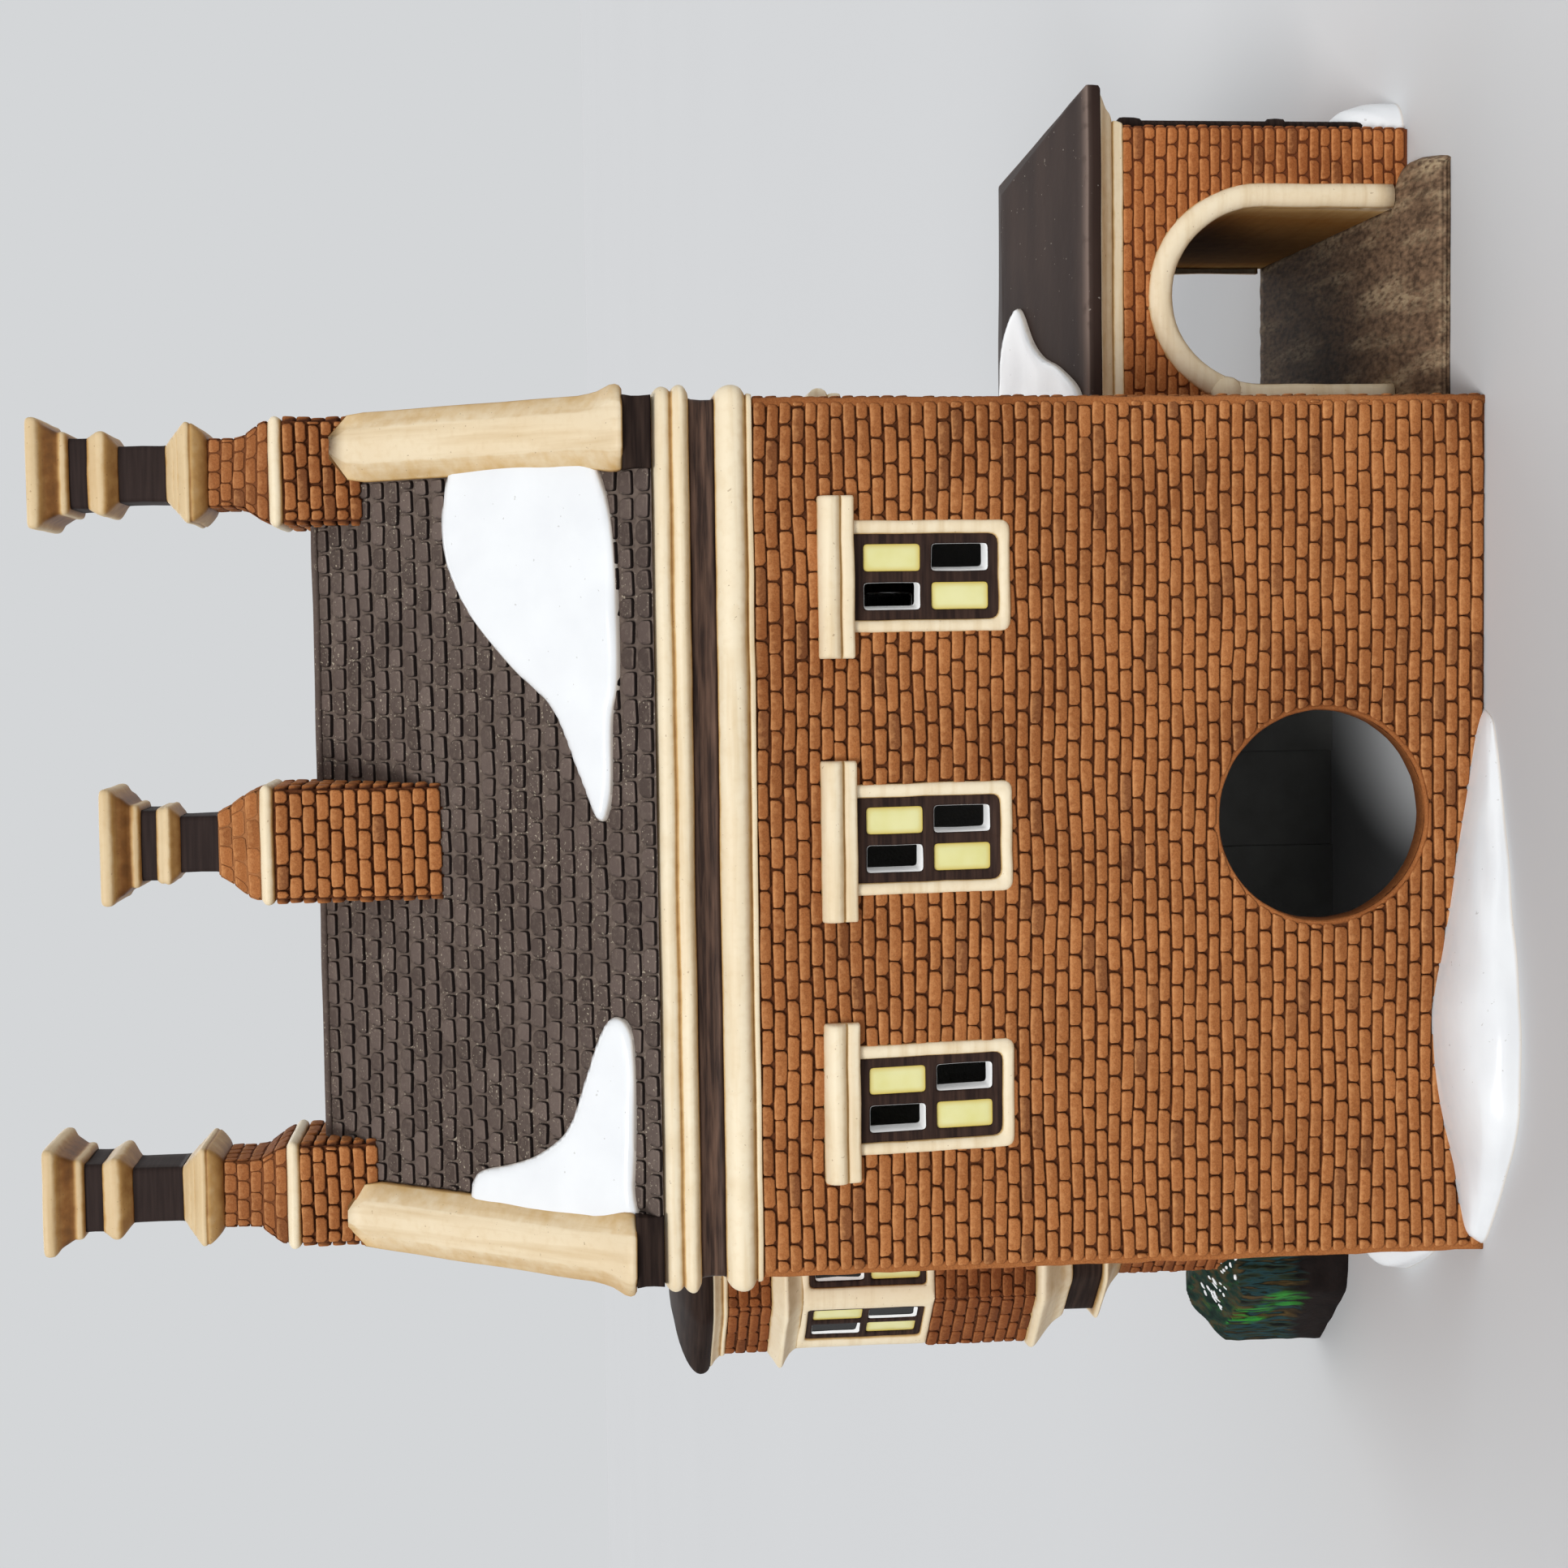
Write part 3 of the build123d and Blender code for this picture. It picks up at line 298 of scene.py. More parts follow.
def porch_roof_paint():
    p = Paint("porch_roof_brown", roughness=0.6, specular=0.05)
    colour = p.ramp(p.noise(7, 4, (0.3, 1, 1)), (0.35, (46, 34, 30)), (0.75, (60, 46, 40)))
    colour = p.mix(p.step(p.noise(0.7, 1), 0.765, 0.775), colour, (168, 158, 148), amount=0.5)
    # Pale where the rise is high, along the top of the lip: a painted highlight line, broken by noise
    wear_and_painted_light = p.times(p.read("rise"), p.step(p.noise(2.5, 3), 0.05, 0.45))
    return p.done(p.mix(wear_and_painted_light, colour, (132, 115, 106)), p.noise(1.5, 3), 0.03)


def snow_paint():
    p = Paint("snow_glaze", roughness=0.22, specular=0.5, coat=0.3)
    tint = p.ramp(p.noise(9, 3), (0.3, (233, 235, 237)), (0.7, (240, 242, 243)))
    tint = p.mix(p.step(p.noise(0.8, 1), 0.765, 0.775), tint, (140, 130, 120), amount=0.35)
    # Greyer brown where the rise is low, at the rims and feet of the snow: painted shade
    return p.done(p.mix(p.step(p.read("rise"), 0.0, 0.3), (214, 204, 192), tint), p.noise(2.5, 2), 0.04)


def pane_paint():
    p = Paint("yellow_pane", roughness=0.25, specular=0.5, coat=0.2)
    inner = p.ramp(p.noise(5, 2), (0.3, (222, 216, 140)), (0.7, (230, 226, 166)))
    # Deeper, darker yellow where the rise is low, at the sunk edges of the pane: painted shade
    return p.done(p.mix(p.step(p.read("rise"), 0.0, 0.85), (214, 186, 74), inner), p.noise(1.2, 2), 0.02)


def porcelain_paint():
    p = Paint("bare_porcelain", roughness=0.45, specular=0.4)
    colour = p.ramp(p.noise(3, 3), (0.3, (236, 236, 234)), (0.7, (248, 248, 247)))
    return p.done(colour, p.noise(0.6, 2), 0.02)


def drive_paint():
    """Brown stone with pale streaks along the drive, darker where its rise is low: painted shade inside the
    archway and in the grooves of its lip.
    """
    p = Paint("drive_brown", roughness=0.8, specular=0.12)
    grain = p.noise(0.8, 4, (1, 0.4, 1))
    stone = p.ramp(grain, (0.35, (84, 66, 51)), (0.7, (146, 118, 93)))
    stone = p.mix(p.step(p.read("rise"), 0.2, 0.9), p.tinted(stone, (126, 119, 114)), stone)
    fine = p.step(p.noise(0.6, 4, (1, 0.3, 1)), 0.36, 0.6)
    streak = p.times(p.step(p.noise(3.4, 4, (1, 0.16, 1)), 0.48, 0.66), fine)
    return p.done(p.mix(p.times(streak, p.read("rise")), stone, (184, 162, 130), amount=0.95), grain, 0.14)


def leaf_paint():
    """Hanging strokes of greens, blue and brown, a mottled top and a bare foot of soil."""
    p = Paint("bush_leaves", roughness=0.65, specular=0.08)
    leaf = p.ramp(p.noise(1.5, 3, (1, 1, 0.14)), (0.34, (10, 13, 11)), (0.43, (40, 48, 34)),
                  (0.5, (34, 62, 66)), (0.55, (18, 24, 18)), (0.64, (78, 62, 36)))
    strokes = p.step(p.noise(0.9, 3, (1, 1, 0.18)), 0.42, 0.56)
    leaf = p.mix(p.times(p.step(p.read("tone"), 0.2, 0.5), strokes), leaf, (54, 138, 52))
    top = p.ramp(p.noise(2.5, 4), (0.35, (16, 28, 25)), (0.5, (26, 48, 38)), (0.6, (64, 54, 34)),
                 (0.72, (42, 72, 54)))
    leaf = p.mix(p.step(p.facing_down(), -0.35, -0.75), leaf, top)
    soil = p.ramp(p.noise(4, 3), (0.3, (19, 14, 13)), (0.7, (30, 22, 20)))
    ragged = p.uneven(p.read("rise"), 1.8, 2, 0.4, (1, 1, 0.25))
    return p.done(p.mix(p.step(ragged, 0.26, 0.4), soil, leaf), p.noise(0.8, 3), 0.08)


def door_paint():
    p = Paint("door_green", roughness=0.4, specular=0.4)
    colour = p.ramp(p.noise(3, 3, (1, 1, 0.2)), (0.35, (26, 58, 40)), (0.7, (40, 80, 56)))
    # Darker green where the rise is low, in the sunk grooves of the panels: painted shade
    return p.done(p.mix(p.step(p.read("rise"), 0.0, 0.7), (16, 28, 22), colour), p.noise(0.7, 3), 0.03)


BRICK, MORTAR = brick_paint(), mortar_paint()
TURRET_BRICK = brick_paint("turret_brick", (208, 191, 180))
NECK_BRICK = brick_paint("neck_brick", (240, 238, 240), (112, 65, 36))
PALE_NECK = brick_paint("pale_neck_brick", joint=(166, 112, 70))
PORCH_BRICK = brick_paint("porch_brick", (255, 245, 238), (104, 57, 30))
CREAM = cream_paint()
COPING = cream_paint("coping_cream", (247, 243, 238), stroke=(1, 0.06, 0.06))
CHIMNEY_CREAM = cream_paint("chimney_cream", (234, 222, 203), mottle=0.4)
ARCHWAY = cream_paint("archway_cream", roughness=0.9, specular=0.03, mottle=0.08)
SLATE, SLATE_BED = slate_paint(), slate_bed_paint()
DARK = dark_paint()
FRIEZE = dark_paint("frieze_brown", (48, 34, 28), (104, 79, 65), 0.45, 0.15)
FLUE = dark_paint("flue_brown", (46, 37, 35), (57, 46, 43))
SASH = dark_paint("sash_brown", (42, 31, 28), (70, 52, 44))
# A dark sheet that stands for the shade inside the house behind a window: painted shade
SHADE_PANE = dark_paint("painted_shade_pane", (20, 19, 18), (28, 27, 26), 0.2, 0.3)
SNOW, PANE, PORCELAIN = snow_paint(), pane_paint(), porcelain_paint()
PORCH_ROOF, DRIVE, LEAF, DOOR = porch_roof_paint(), drive_paint(), leaf_paint(), door_paint()


class Skin:
    """Points with a rise and a tone, and faces, gathered in mm for one piece."""

    def __init__(self, wobble=0.0, wave=9.0):
        self.points, self.faces, self.tone, self.rise = [], [], [], []
        self.wobble, self.wave = wobble, wave

    def loop(self, points, rise=1.0, tone=0.5):
        """Adds points, with one rise and tone or one each, and returns their numbers."""
        start = len(self.points)
        for point in points:
            point = Vector(point)
            if self.wobble:
                point = point + noise.noise_vector(point / self.wave) * self.wobble
            self.points.append(point)
        self.tone += tone if isinstance(tone, list) else [tone] * len(points)
        self.rise += rise if isinstance(rise, list) else [rise] * len(points)
        return list(range(start, len(self.points)))

    def bridge(self, low, high, closed=True):
        count = len(low)
        for i in range(count if closed else count - 1):
            j = (i + 1) % count
            self.faces.append((low[i], low[j], high[j], high[i]))

    def fill(self, loop, flip=False):
        self.faces.append(tuple(reversed(loop)) if flip else tuple(loop))

    def sheet(self, loops, closed=True):
        """Joins loops each to the next."""
        for low, high in zip(loops, loops[1:]):
            self.bridge(low, high, closed)

    def dome(self, loops):
        """Joins loops and closes the last one."""
        self.sheet(loops)
        self.fill(loops[-1])

    def solid(self, loops):
        """Joins loops and closes the first and the last."""
        self.sheet(loops)
        self.fill(loops[0], flip=True)
        self.fill(loops[-1])

    def make(self, name, material, slot, *nodes):
        """Makes the piece, which stands for the nodes."""
        mesh = bpy.data.meshes.new(name)
        points = [(MID_X + p.x * MM, FACE_Y + p.y * MM, p.z * MM) for p in self.points]
        mesh.from_pydata(points, [], self.faces)
        turned = bmesh.new()
        turned.from_mesh(mesh)
        bmesh.ops.recalc_face_normals(turned, faces=turned.faces)
        turned.to_mesh(mesh)
        turned.free()
        for label, values in (("tone", self.tone), ("rise", self.rise)):
            mesh.attributes.new(label, "FLOAT", "POINT").data.foreach_set("value", values)
        mesh.shade_smooth()
        mesh.materials.append(material)
        piece = bpy.data.objects.new(name, mesh)
        bpy.context.collection.objects.link(piece)
        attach(piece, "root")
        if nodes:
            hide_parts(*nodes)


class Face:
    """A flat place on the house, with its right, up and outward directions."""

    def __init__(self, origin, facing, lean=0.0):
        out = Vector((*facing, 0)).normalized()
        self.origin = Vector(origin)
        self.right = Vector((-out.y, out.x, 0))
        self.up = Vector((0, 0, math.cos(lean))) - out * math.sin(lean)
        self.out = self.right.cross(self.up)

    def at(self, a, b, h=0.0):
        return self.origin + self.right * a + self.up * b + self.out * h


class Bell(Face):
    """A face that starts upright, curves in by a taper and ends upright."""

    def __init__(self, origin, facing, height, taper, side):
        super().__init__(origin, facing)
        self.height, self.taper, self.side = height, taper, side

    def inward(self, b):
        t = min(max(b / self.height, 0.0), 1.0)
        return self.taper * t * t * (3 - 2 * t)

    def at(self, a, b, h=0.0):
        inward = self.inward(b)
        return super().at(a * (1 - inward / self.side), b, h - inward)


REAR = Face((0, 0, 0), (0, 1))
FRONT = Face((0, -DEPTH, 0), (0, -1))
PORCH_END = Face((-HALF_W, RIDGE_Y, 0), (-1, 0))
TURRET_END = Face((HALF_W, RIDGE_Y, 0), (1, 0))


def rect(a0, a1, b0, b1, inset=0.0):
    a0, a1, b0, b1 = a0 + inset, a1 - inset, b0 + inset, b1 - inset
    return [(a0, b0), (a1, b0), (a1, b1), (a0, b1)]


def circle(sides):
    """The cosines and sines of steps round a circle."""
    return [(math.cos(math.tau * k / sides), math.sin(math.tau * k / sides)) for k in range(sides)]


def edges(poly):
    """The edges of a closed outline."""
    return zip(poly, poly[1:] + poly[:1])


def extent(poly):
    """The left, right, low and high ends of an outline."""
    xs, ys = [p[0] for p in poly], [p[1] for p in poly]
    return min(xs), max(xs), min(ys), max(ys)


def middle_of(poly):
    """The middle of an outline's box, and half its width and height."""
    left, right, low, high = extent(poly)
    return (right + left) / 2, (high + low) / 2, (right - left) / 2, (high - low) / 2


def clip(poly, a, b, c):
    """The part of a flat outline where a * x + b * y is at most c."""
    kept = []
    for (x0, y0), (x1, y1) in edges(poly):
        d0, d1 = a * x0 + b * y0 - c, a * x1 + b * y1 - c
        if d0 <= 0:
            kept.append((x0, y0))
        if d0 * d1 < 0:
            t = d0 / (d0 - d1)
            kept.append((x0 + (x1 - x0) * t, y0 + (y1 - y0) * t))
    return kept


def inside(poly, outline):
    """An outline clipped by a convex one that runs counter-clockwise."""
    for (x0, y0), (x1, y1) in edges(outline):
        if len(poly) < 3:
            return []
        poly = clip(poly, y1 - y0, x0 - x1, (y1 - y0) * x0 + (x0 - x1) * y0)
    return poly


def area(poly):
    return sum(x0 * y1 - x1 * y0 for (x0, y0), (x1, y1) in edges(poly)) / 2


def counter_clockwise(poly):
    return poly if area(poly) > 0 else poly[::-1]


def soft_corners(corners, radius, sides=1, turns=2):
    """A closed outline with rounded corners, of one radius or one each, and extra points along its sides."""
    points = []
    count = len(corners)
    radii = radius if isinstance(radius, list) else [radius] * count
    most = 0.45
    for i in range(count):
        before, here, after, following = (Vector((*corners[k % count], 0)) for k in (i - 1, i, i + 1, i + 2))
        reach = min(radii[i], (before - here).length * most, (after - here).length * most)
        start = here + (before - here).normalized() * reach
        end = here + (after - here).normalized() * reach
        for k in range(turns + 1):
            t = k / turns
            p = start * (1 - t) ** 2 + here * 2 * t * (1 - t) + end * t ** 2
            points.append((p.x, p.y))
        reach = min(radii[(i + 1) % count], (here - after).length * most, (following - after).length * most)
        stop = after + (here - after).normalized() * reach
        for k in range(1, sides):
            p = end.lerp(stop, k / sides)
            points.append((p.x, p.y))
    return points


def smoothed(points, steps=3):
    """More points on a smooth curve through the given ones."""
    out = []
    for i in range(len(points) - 1):
        p0, p1, p2, p3 = (points[min(max(k, 0), len(points) - 1)] for k in (i - 1, i, i + 1, i + 2))
        for k in range(steps):
            t = k / steps
            out.append(tuple(0.5 * (2 * b + (c - a) * t + (2 * a - 5 * b + 4 * c - d) * t ** 2
                                    + (3 * b - a - 3 * c + d) * t ** 3)
                             for a, b, c, d in zip(p0, p1, p2, p3)))
    return out + [points[-1]]


def closed_curve(points, steps=5):
    """More points on a smooth closed curve through the given ones."""
    run = smoothed(list(points[-2:]) + list(points) + list(points[:3]), steps)
    return run[2 * steps:(2 + len(points)) * steps]


def loft(skin, levels, outline, tone=0.5):
    """Outlines one above the next, from (z, size, rise)."""
    skin.solid([skin.loop([(a, b, z) for a, b in outline(size)], rise, tone) for z, size, rise in levels])


def profile(z0, height, steps):
    """Steps given as (share of the height, size, rise), as a smooth run of levels."""
    return smoothed([(z0 + height * share, size, rise) for share, size, rise in steps], 2)


def roof_z(y):
    return RIDGE_Z - abs(y - RIDGE_Y) * math.tan(SLOPE)


def pillow(skin, rng, face, poly, proud):
    """A brick with rounded edges, on a face."""
    mid_x, mid_y, half_x, half_y = middle_of(poly)
    outline = []
    for (x0, y0), (x1, y1) in edges(poly):
        outline.append((x0, y0))
        if abs(x1 - x0) > 2.5:
            outline.append(((x0 + x1) / 2, (y0 + y1) / 2 + rng.uniform(-0.1, 0.1)))
    outline = soft_corners(outline, [0.5 if y < mid_y else 0.22 for _, y in outline], turns=1)
    tone = rng.random()
    proud *= rng.uniform(0.75, 1.15)
    tilt_x, tilt_y = rng.uniform(-0.04, 0.04), rng.uniform(-0.08, 0.05)
    loops = []
    # The shade column lifts the rise towards a brick's top edge and lowers it towards its bottom edge: a
    # painted highlight above and painted shade below
    for inset, lift, rise, shade in ((0.0, -0.1, 0.0, 0.0), (0.04, 0.6, 0.5, 0.4), (0.13, 0.9, 0.92, 0.3),
                                     (0.34, 1.0, 1.0, 0.1)):
        kx, ky = max(1 - inset / half_x, 0.2), max(1 - inset / half_y, 0.2)
        ring, rises = [], []
        for x, y in outline:
            dx, dy = (x - mid_x) * kx, (y - mid_y) * ky
            height = proud * lift + (tilt_x * dx + tilt_y * dy if lift > 0.6 else 0)
            ring.append(face.at(mid_x + dx, mid_y + dy, height))
            rises.append(rise + shade * (y - mid_y) / half_y)
        loops.append(skin.loop(ring, rises, tone))
    skin.dome(loops)


def free_spans(start, stop, gaps):
    """What is left of a span between gaps, without slivers."""
    spans = [(start, stop)]
    for g0, g1, _, _ in gaps:
        spans = [s for s0, s1 in spans for s in ((s0, min(s1, g0)), (max(s0, g1), s1)) if s[1] - s[0] > 0.6]
    return spans


def cut_round(poly, x, y, radius):
    """A brick's outline cut off at a round hole, or nothing where it lies in the hole."""
    cx = sum(p[0] for p in poly) / len(poly) - x
    cy = sum(p[1] for p in poly) / len(poly) - y
    away = math.hypot(cx, cy)
    if away < radius - 2:
        return []
    if away < radius + BRICK_L:
        return clip(poly, -cx / away, -cy / away, -(x * cx + y * cy) / away - radius)
    return poly


def brick_panel(skin, rng, face, outline, gaps=(), hole=None, proud=PROUD, course=COURSE, length=BRICK_L):
    """Courses of bricks over a convex outline, left out in the gaps and cut round a hole."""
    left, right, low, high = extent(outline)
    rows = max(1, round((high - low) / course))
    pitch = (high - low) / rows
    shift = rng.uniform(0, 50)
    for row in range(rows):
        b0 = low + row * pitch
        b1 = b0 + pitch
        here = [g for g in gaps if min(b1, g[3]) - max(b0, g[2]) > pitch * 0.45]
        start = place = left - length * (rng.uniform(0.1, 0.25) + 0.5 * (row % 2))
        while start < right:
            place += length
            stop = place + rng.uniform(-0.45, 0.45)
            for s0, s1 in free_spans(start, stop, here):
                poly = []
                for x, y in rect(s0, s1, b0, b1, JOINT / 2):
                    wave = 0.45 * noise.noise(Vector((x * 0.06, y * 0.09, shift)))
                    poly.append((x + rng.uniform(-0.14, 0.14), y + wave + rng.uniform(-0.1, 0.1)))
                poly = inside(poly, outline)
                if hole and poly:
                    poly = cut_round(poly, *hole)
                if len(poly) > 2 and area(poly) > 0.7:
                    pillow(skin, rng, face, poly, proud)
            start = stop


def slate(skin, rng, face, poly, b, pitch):
    """One slate, its lower edge lifted off the row below."""
    outline = soft_corners(poly, 0.4)
    mid_x, mid_y, half_x, half_y = middle_of(poly)
    tone = rng.random()
    thick = rng.uniform(0.55, 0.85)
    loops = []
    for inset, lift, rise in ((0.0, -0.15, 0.0), (0.04, 0.8, 0.05), (0.14, 1.0, 0.9), (0.32, 1.0, 1.0),
                              (0.6, 0.94, 0.8)):
        kx, ky = max(1 - inset / half_x, 0.2), max(1 - inset / half_y, 0.2)
        ring, rises = [], []
        for x, y in outline:
            px, py = mid_x + (x - mid_x) * kx, mid_y + (y - mid_y) * ky
            fall = min(max((py - b) / (pitch * 0.8), 0), 1)
            ring.append(face.at(px, py, lift * thick * (1 - 0.85 * fall) + 0.02))
            # Near the lower edge the rise is raised for a painted highlight, and at the left edge it is
            # lowered for painted shade; the outer rings stay low, darkest at the lower edge, as a painted
            # shadow under the slate's thick edge
            if 0.1 < inset < 0.4:
                rises.append(rise + 0.2 * (fall < 0.3) - 0.5 * (x < mid_x - half_x * 0.9))
            else:
                rises.append(rise + 0.5 * fall * (1 - rise))
        loops.append(skin.loop(ring, rises, tone))
    skin.dome(loops)


def slate_panel(skin, rng, face, outline):
    """Rows of separate slates, thick at their lower edges and rounded at their heads."""
    left, right, low, high = extent(outline)
    rows = max(1, round((high - low) / SLATE_ROW))
    pitch = (high - low) / rows
    head, shoulder = pitch * 0.9, pitch * 0.66
    for row in range(rows):
        a = left - SLATE_W * (0.15 + 0.5 * (row % 2) + rng.uniform(0, 0.15))
        while a < right:
            size = SLATE_W * rng.uniform(0.88, 1.12)
            wave = 0.5 * noise.noise(Vector((a * 0.05, row * 0.6, 3.0)))
            b = low + row * pitch + 0.2 + wave + rng.uniform(-0.1, 0.1)
            x0, x1 = a + rng.uniform(0.12, 0.26), a + size - rng.uniform(0.12, 0.26)
            tilt = rng.uniform(-0.12, 0.12)
            corners = [(x0, b - tilt), (x1, b + tilt), (x1, b + shoulder), (x1 - 0.7, b + head),
                       (x0 + 0.7, b + head), (x0, b + shoulder)]
            poly = inside(corners, outline)
            if len(poly) > 2 and area(poly) > 0.6:
                slate(skin, rng, face, poly, b, pitch)
            a += size


def opening_gap(a, low, width, high):
    """A gap in the bricks for an opening and the inner part of its frame."""
    margin = 0.9
    return (a - width / 2 - margin, a + width / 2 + margin, low, high + 2)


def window_gap(a, sill):
    return opening_gap(a, sill - 0.9, SASH_W, sill + SASH_H)


def wall_bricks(rng):
    """The bricks of the four walls, laid round their openings; those of the turret end are flatter."""
    half_x, half_y = HALF_W - CORNER_SEAM, DEPTH / 2 - CORNER_SEAM
    long_wall = rect(-half_x, half_x, BRICK_FOOT, WALL_H)
    end_wall = rect(-half_y, half_y, BRICK_FOOT, WALL_H)
    upper = [window_gap(a, SILL_Z) for a in WINDOW_X]
    lower = [window_gap(a, LOWER_SILL_Z) for a in (WINDOW_X[0], WINDOW_X[2])]
    door_gap = opening_gap(0, -1, DOOR_W, DOOR_H)
    porch_gap = (-4.5, half_y + 3, -1, PORCH_H + 6)
    lamp_hole = (-HOLE_X, HOLE_Z, HOLE_R + 0.5)
    for name, face, outline, gaps, hole, proud in (
            ("rear_wall", REAR, long_wall, upper, lamp_hole, PROUD),
            ("front_wall", FRONT, long_wall, upper + lower + [door_gap], None, PROUD),
            ("porch_end", PORCH_END, end_wall, [window_gap(END_WINDOW_X, SILL_Z), porch_gap], None, PROUD),
            ("turret_end", TURRET_END, end_wall, (), None, 0.25)):
        skin = Skin()
        brick_panel(skin, rng, face, outline, gaps, hole, proud)
        skin.make(name + "_bricks", BRICK, "brick")


def gable_bricks(rng):
    """The bricks of both gables, up to the chimney bases and beside them."""
    skin = Skin()
    foot, kneeler_in = 38.5, 31.2
    meet = roof_z(-CHIMNEY_BACK - CHIMNEY_D)
    ahead, behind = RIDGE_Y + CHIMNEY_BACK + CHIMNEY_D, -RIDGE_Y - CHIMNEY_BACK
    spans = ((-40, -kneeler_in), (kneeler_in, 40))
    kneeler_gaps = [(a0, a1, EAVE_Z - 1, EAVE_Z + KNEELER_H) for a0, a1 in spans]
    gable = [(-foot, EAVE_Z), (foot, EAVE_Z), (ahead, meet), (-ahead, meet)]
    for face, off in ((PORCH_END, 1), (TURRET_END, -1)):
        brick_panel(skin, rng, face, gable, kneeler_gaps)
        wedge = [(-off * ahead, meet), (-off * behind, meet), (-off * behind, roof_z(-CHIMNEY_BACK))]
        brick_panel(skin, rng, face, counter_clockwise(wedge))
    skin.make("gable_bricks", BRICK, "brick")


def corner_seams():
    """The narrow uneven posts at the corners, where the bricks of two walls meet."""
    skin = Skin(wobble=0.25, wave=4.0)
    thick, sunk, step = 0.7, 0.35, 2.0
    levels = [(min(k * step, WALL_H), thick, 0.95) for k in range(57)]
    for x in (sunk - HALF_W, HALF_W - sunk):
        for y in (-sunk, sunk - DEPTH):
            def post(size):
                return soft_corners(rect(x - size, x + size, y - size, y + size), 0.4)

            loft(skin, levels, post, 0.55)
    skin.make("corner_seams", BRICK, "brick")


def lamp_hole_rim():
    """The rounded rim of the lamp hole, from (past the radius, height over the wall, rise); the rise falls
    down the bore, which darkens inwards as painted shade.
    """
    skin = Skin(wobble=0.12, wave=3.0)
    loops = []
    for past, h, rise in ((0.9, 0.05, 0.5), (0.65, 0.3, 0.9), (0.35, 0.4, 1.0), (0.08, 0.25, 0.9),
                          (-0.05, -0.3, 0.7), (-0.1, -1.2, 0.55), (-0.1, -3.05, 0.3)):
        r = HOLE_R + past
        ring = [REAR.at(-HOLE_X + r * c, HOLE_Z + r * s, h) for c, s in circle(72)]
        loops.append(skin.loop(ring, rise, 0.6))
    skin.sheet(loops)
    skin.make("lamp_hole_rim", BRICK, "brick")


def build_walls():
    rng = random.Random(11)
    wall_bricks(rng)
    gable_bricks(rng)
    corner_seams()
    lamp_hole_rim()


def course_ring(name, material, slot, z0, steps):
    """A moulded course round the house, from (height, reach, rise)."""
    skin = Skin(wobble=0.12)
    loops = []
    for z, reach, rise in steps:
        half_x, half_y = HALF_W + reach, DEPTH / 2 + reach
        radius = 1.2 + max(reach, 0) * 0.7
        outline = soft_corners(rect(-half_x, half_x, -half_y, half_y), radius, sides=26, turns=4)
        loops.append(skin.loop([(a, RIDGE_Y + b, z0 + z) for a, b in outline], rise))
    skin.sheet(loops)
    skin.make(name, material, slot, name)


def build_courses():
    lower = [(0.0, -2.0, 0.3), (0.0, 0.5, 0.3), (0.12, 0.95, 0.85), (0.7, 1.05, 0.9), (0.9, 0.8, 0.3),
             (1.05, 0.95, 0.45), (1.6, 1.8, 0.85), (2.4, 2.25, 1.0), (3.4, 2.3, 1.0), (4.4, 1.95, 1.0),
             (5.1, 1.35, 0.95), (5.5, 0.7, 0.6), (5.6, 0.3, 0.15), (5.6, -2.0, 0.15)]
    upper = [(0.0, -2.0, 0.2), (0.0, 0.5, 0.3), (0.25, 1.35, 0.75), (0.8, 2.1, 1.0), (1.5, 2.25, 1.0),
             (2.2, 1.85, 0.95), (2.6, 1.35, 0.4), (2.75, 1.35, 0.45), (3.2, 1.8, 0.9), (4.0, 2.0, 1.0),
             (4.8, 1.65, 1.0), (5.35, 0.95, 0.8), (5.6, 0.3, 0.4), (5.6, -2.0, 0.3)]
    frieze = [(0.0, -2.0, 0.2), (0.0, 0.3, 0.2), (0.5, 0.15, 0.7), (1.8, 0.1, 1.0), (3.2, 0.2, 0.9),
              (3.7, 0.35, 0.4), (3.7, -2.0, 0.2)]
    course_ring("lower_cornice", CREAM, "trim", LOW_CORNICE_Z, smoothed(lower, 2))
    course_ring("upper_cornice", CREAM, "trim", UP_CORNICE_Z, smoothed(upper, 2))
    course_ring("frieze_band", FRIEZE, "dark", FRIEZE_Z, frieze)


def slope_face(rear):
    """The face of a roof slope, with its foot at the eave."""
    face = Face((0, EAVE_OUT, EAVE_Z), (0, 1)) if rear else Face((0, 2 * RIDGE_Y - EAVE_OUT, EAVE_Z), (0, -1))
    face.up = Vector((0, -math.cos(SLOPE) if rear else math.cos(SLOPE), math.sin(SLOPE)))
    face.out = face.right.cross(face.up)
    return face


def build_roof():
    outline = rect(-SLATE_HALF, SLATE_HALF, 0.0, (RIDGE_Z - EAVE_Z) / math.sin(SLOPE))
    for name, rear in (("rear_slates", True), ("front_slates", False)):
        skin = Skin()
        slate_panel(skin, random.Random(5 + rear), slope_face(rear), outline)
        skin.make(name, SLATE, "slate")
    ridge_roll()


def ridge_roll():
    """The low roll along the ridge."""
    skin = Skin(wobble=0.1)
    inset, steps = 3, 44
    loops = []
    for k in range(steps + 1):
        x = -HALF_W + inset + k * (2 * HALF_W - 2 * inset) / steps
        ring = [(x, RIDGE_Y + 0.9 * c, RIDGE_Z + 0.1 + 0.6 * s) for c, s in circle(8)]
        loops.append(skin.loop(ring, 0.7, 0.4))
    skin.solid(loops)
    skin.make("ridge_roll", SLATE, "slate")


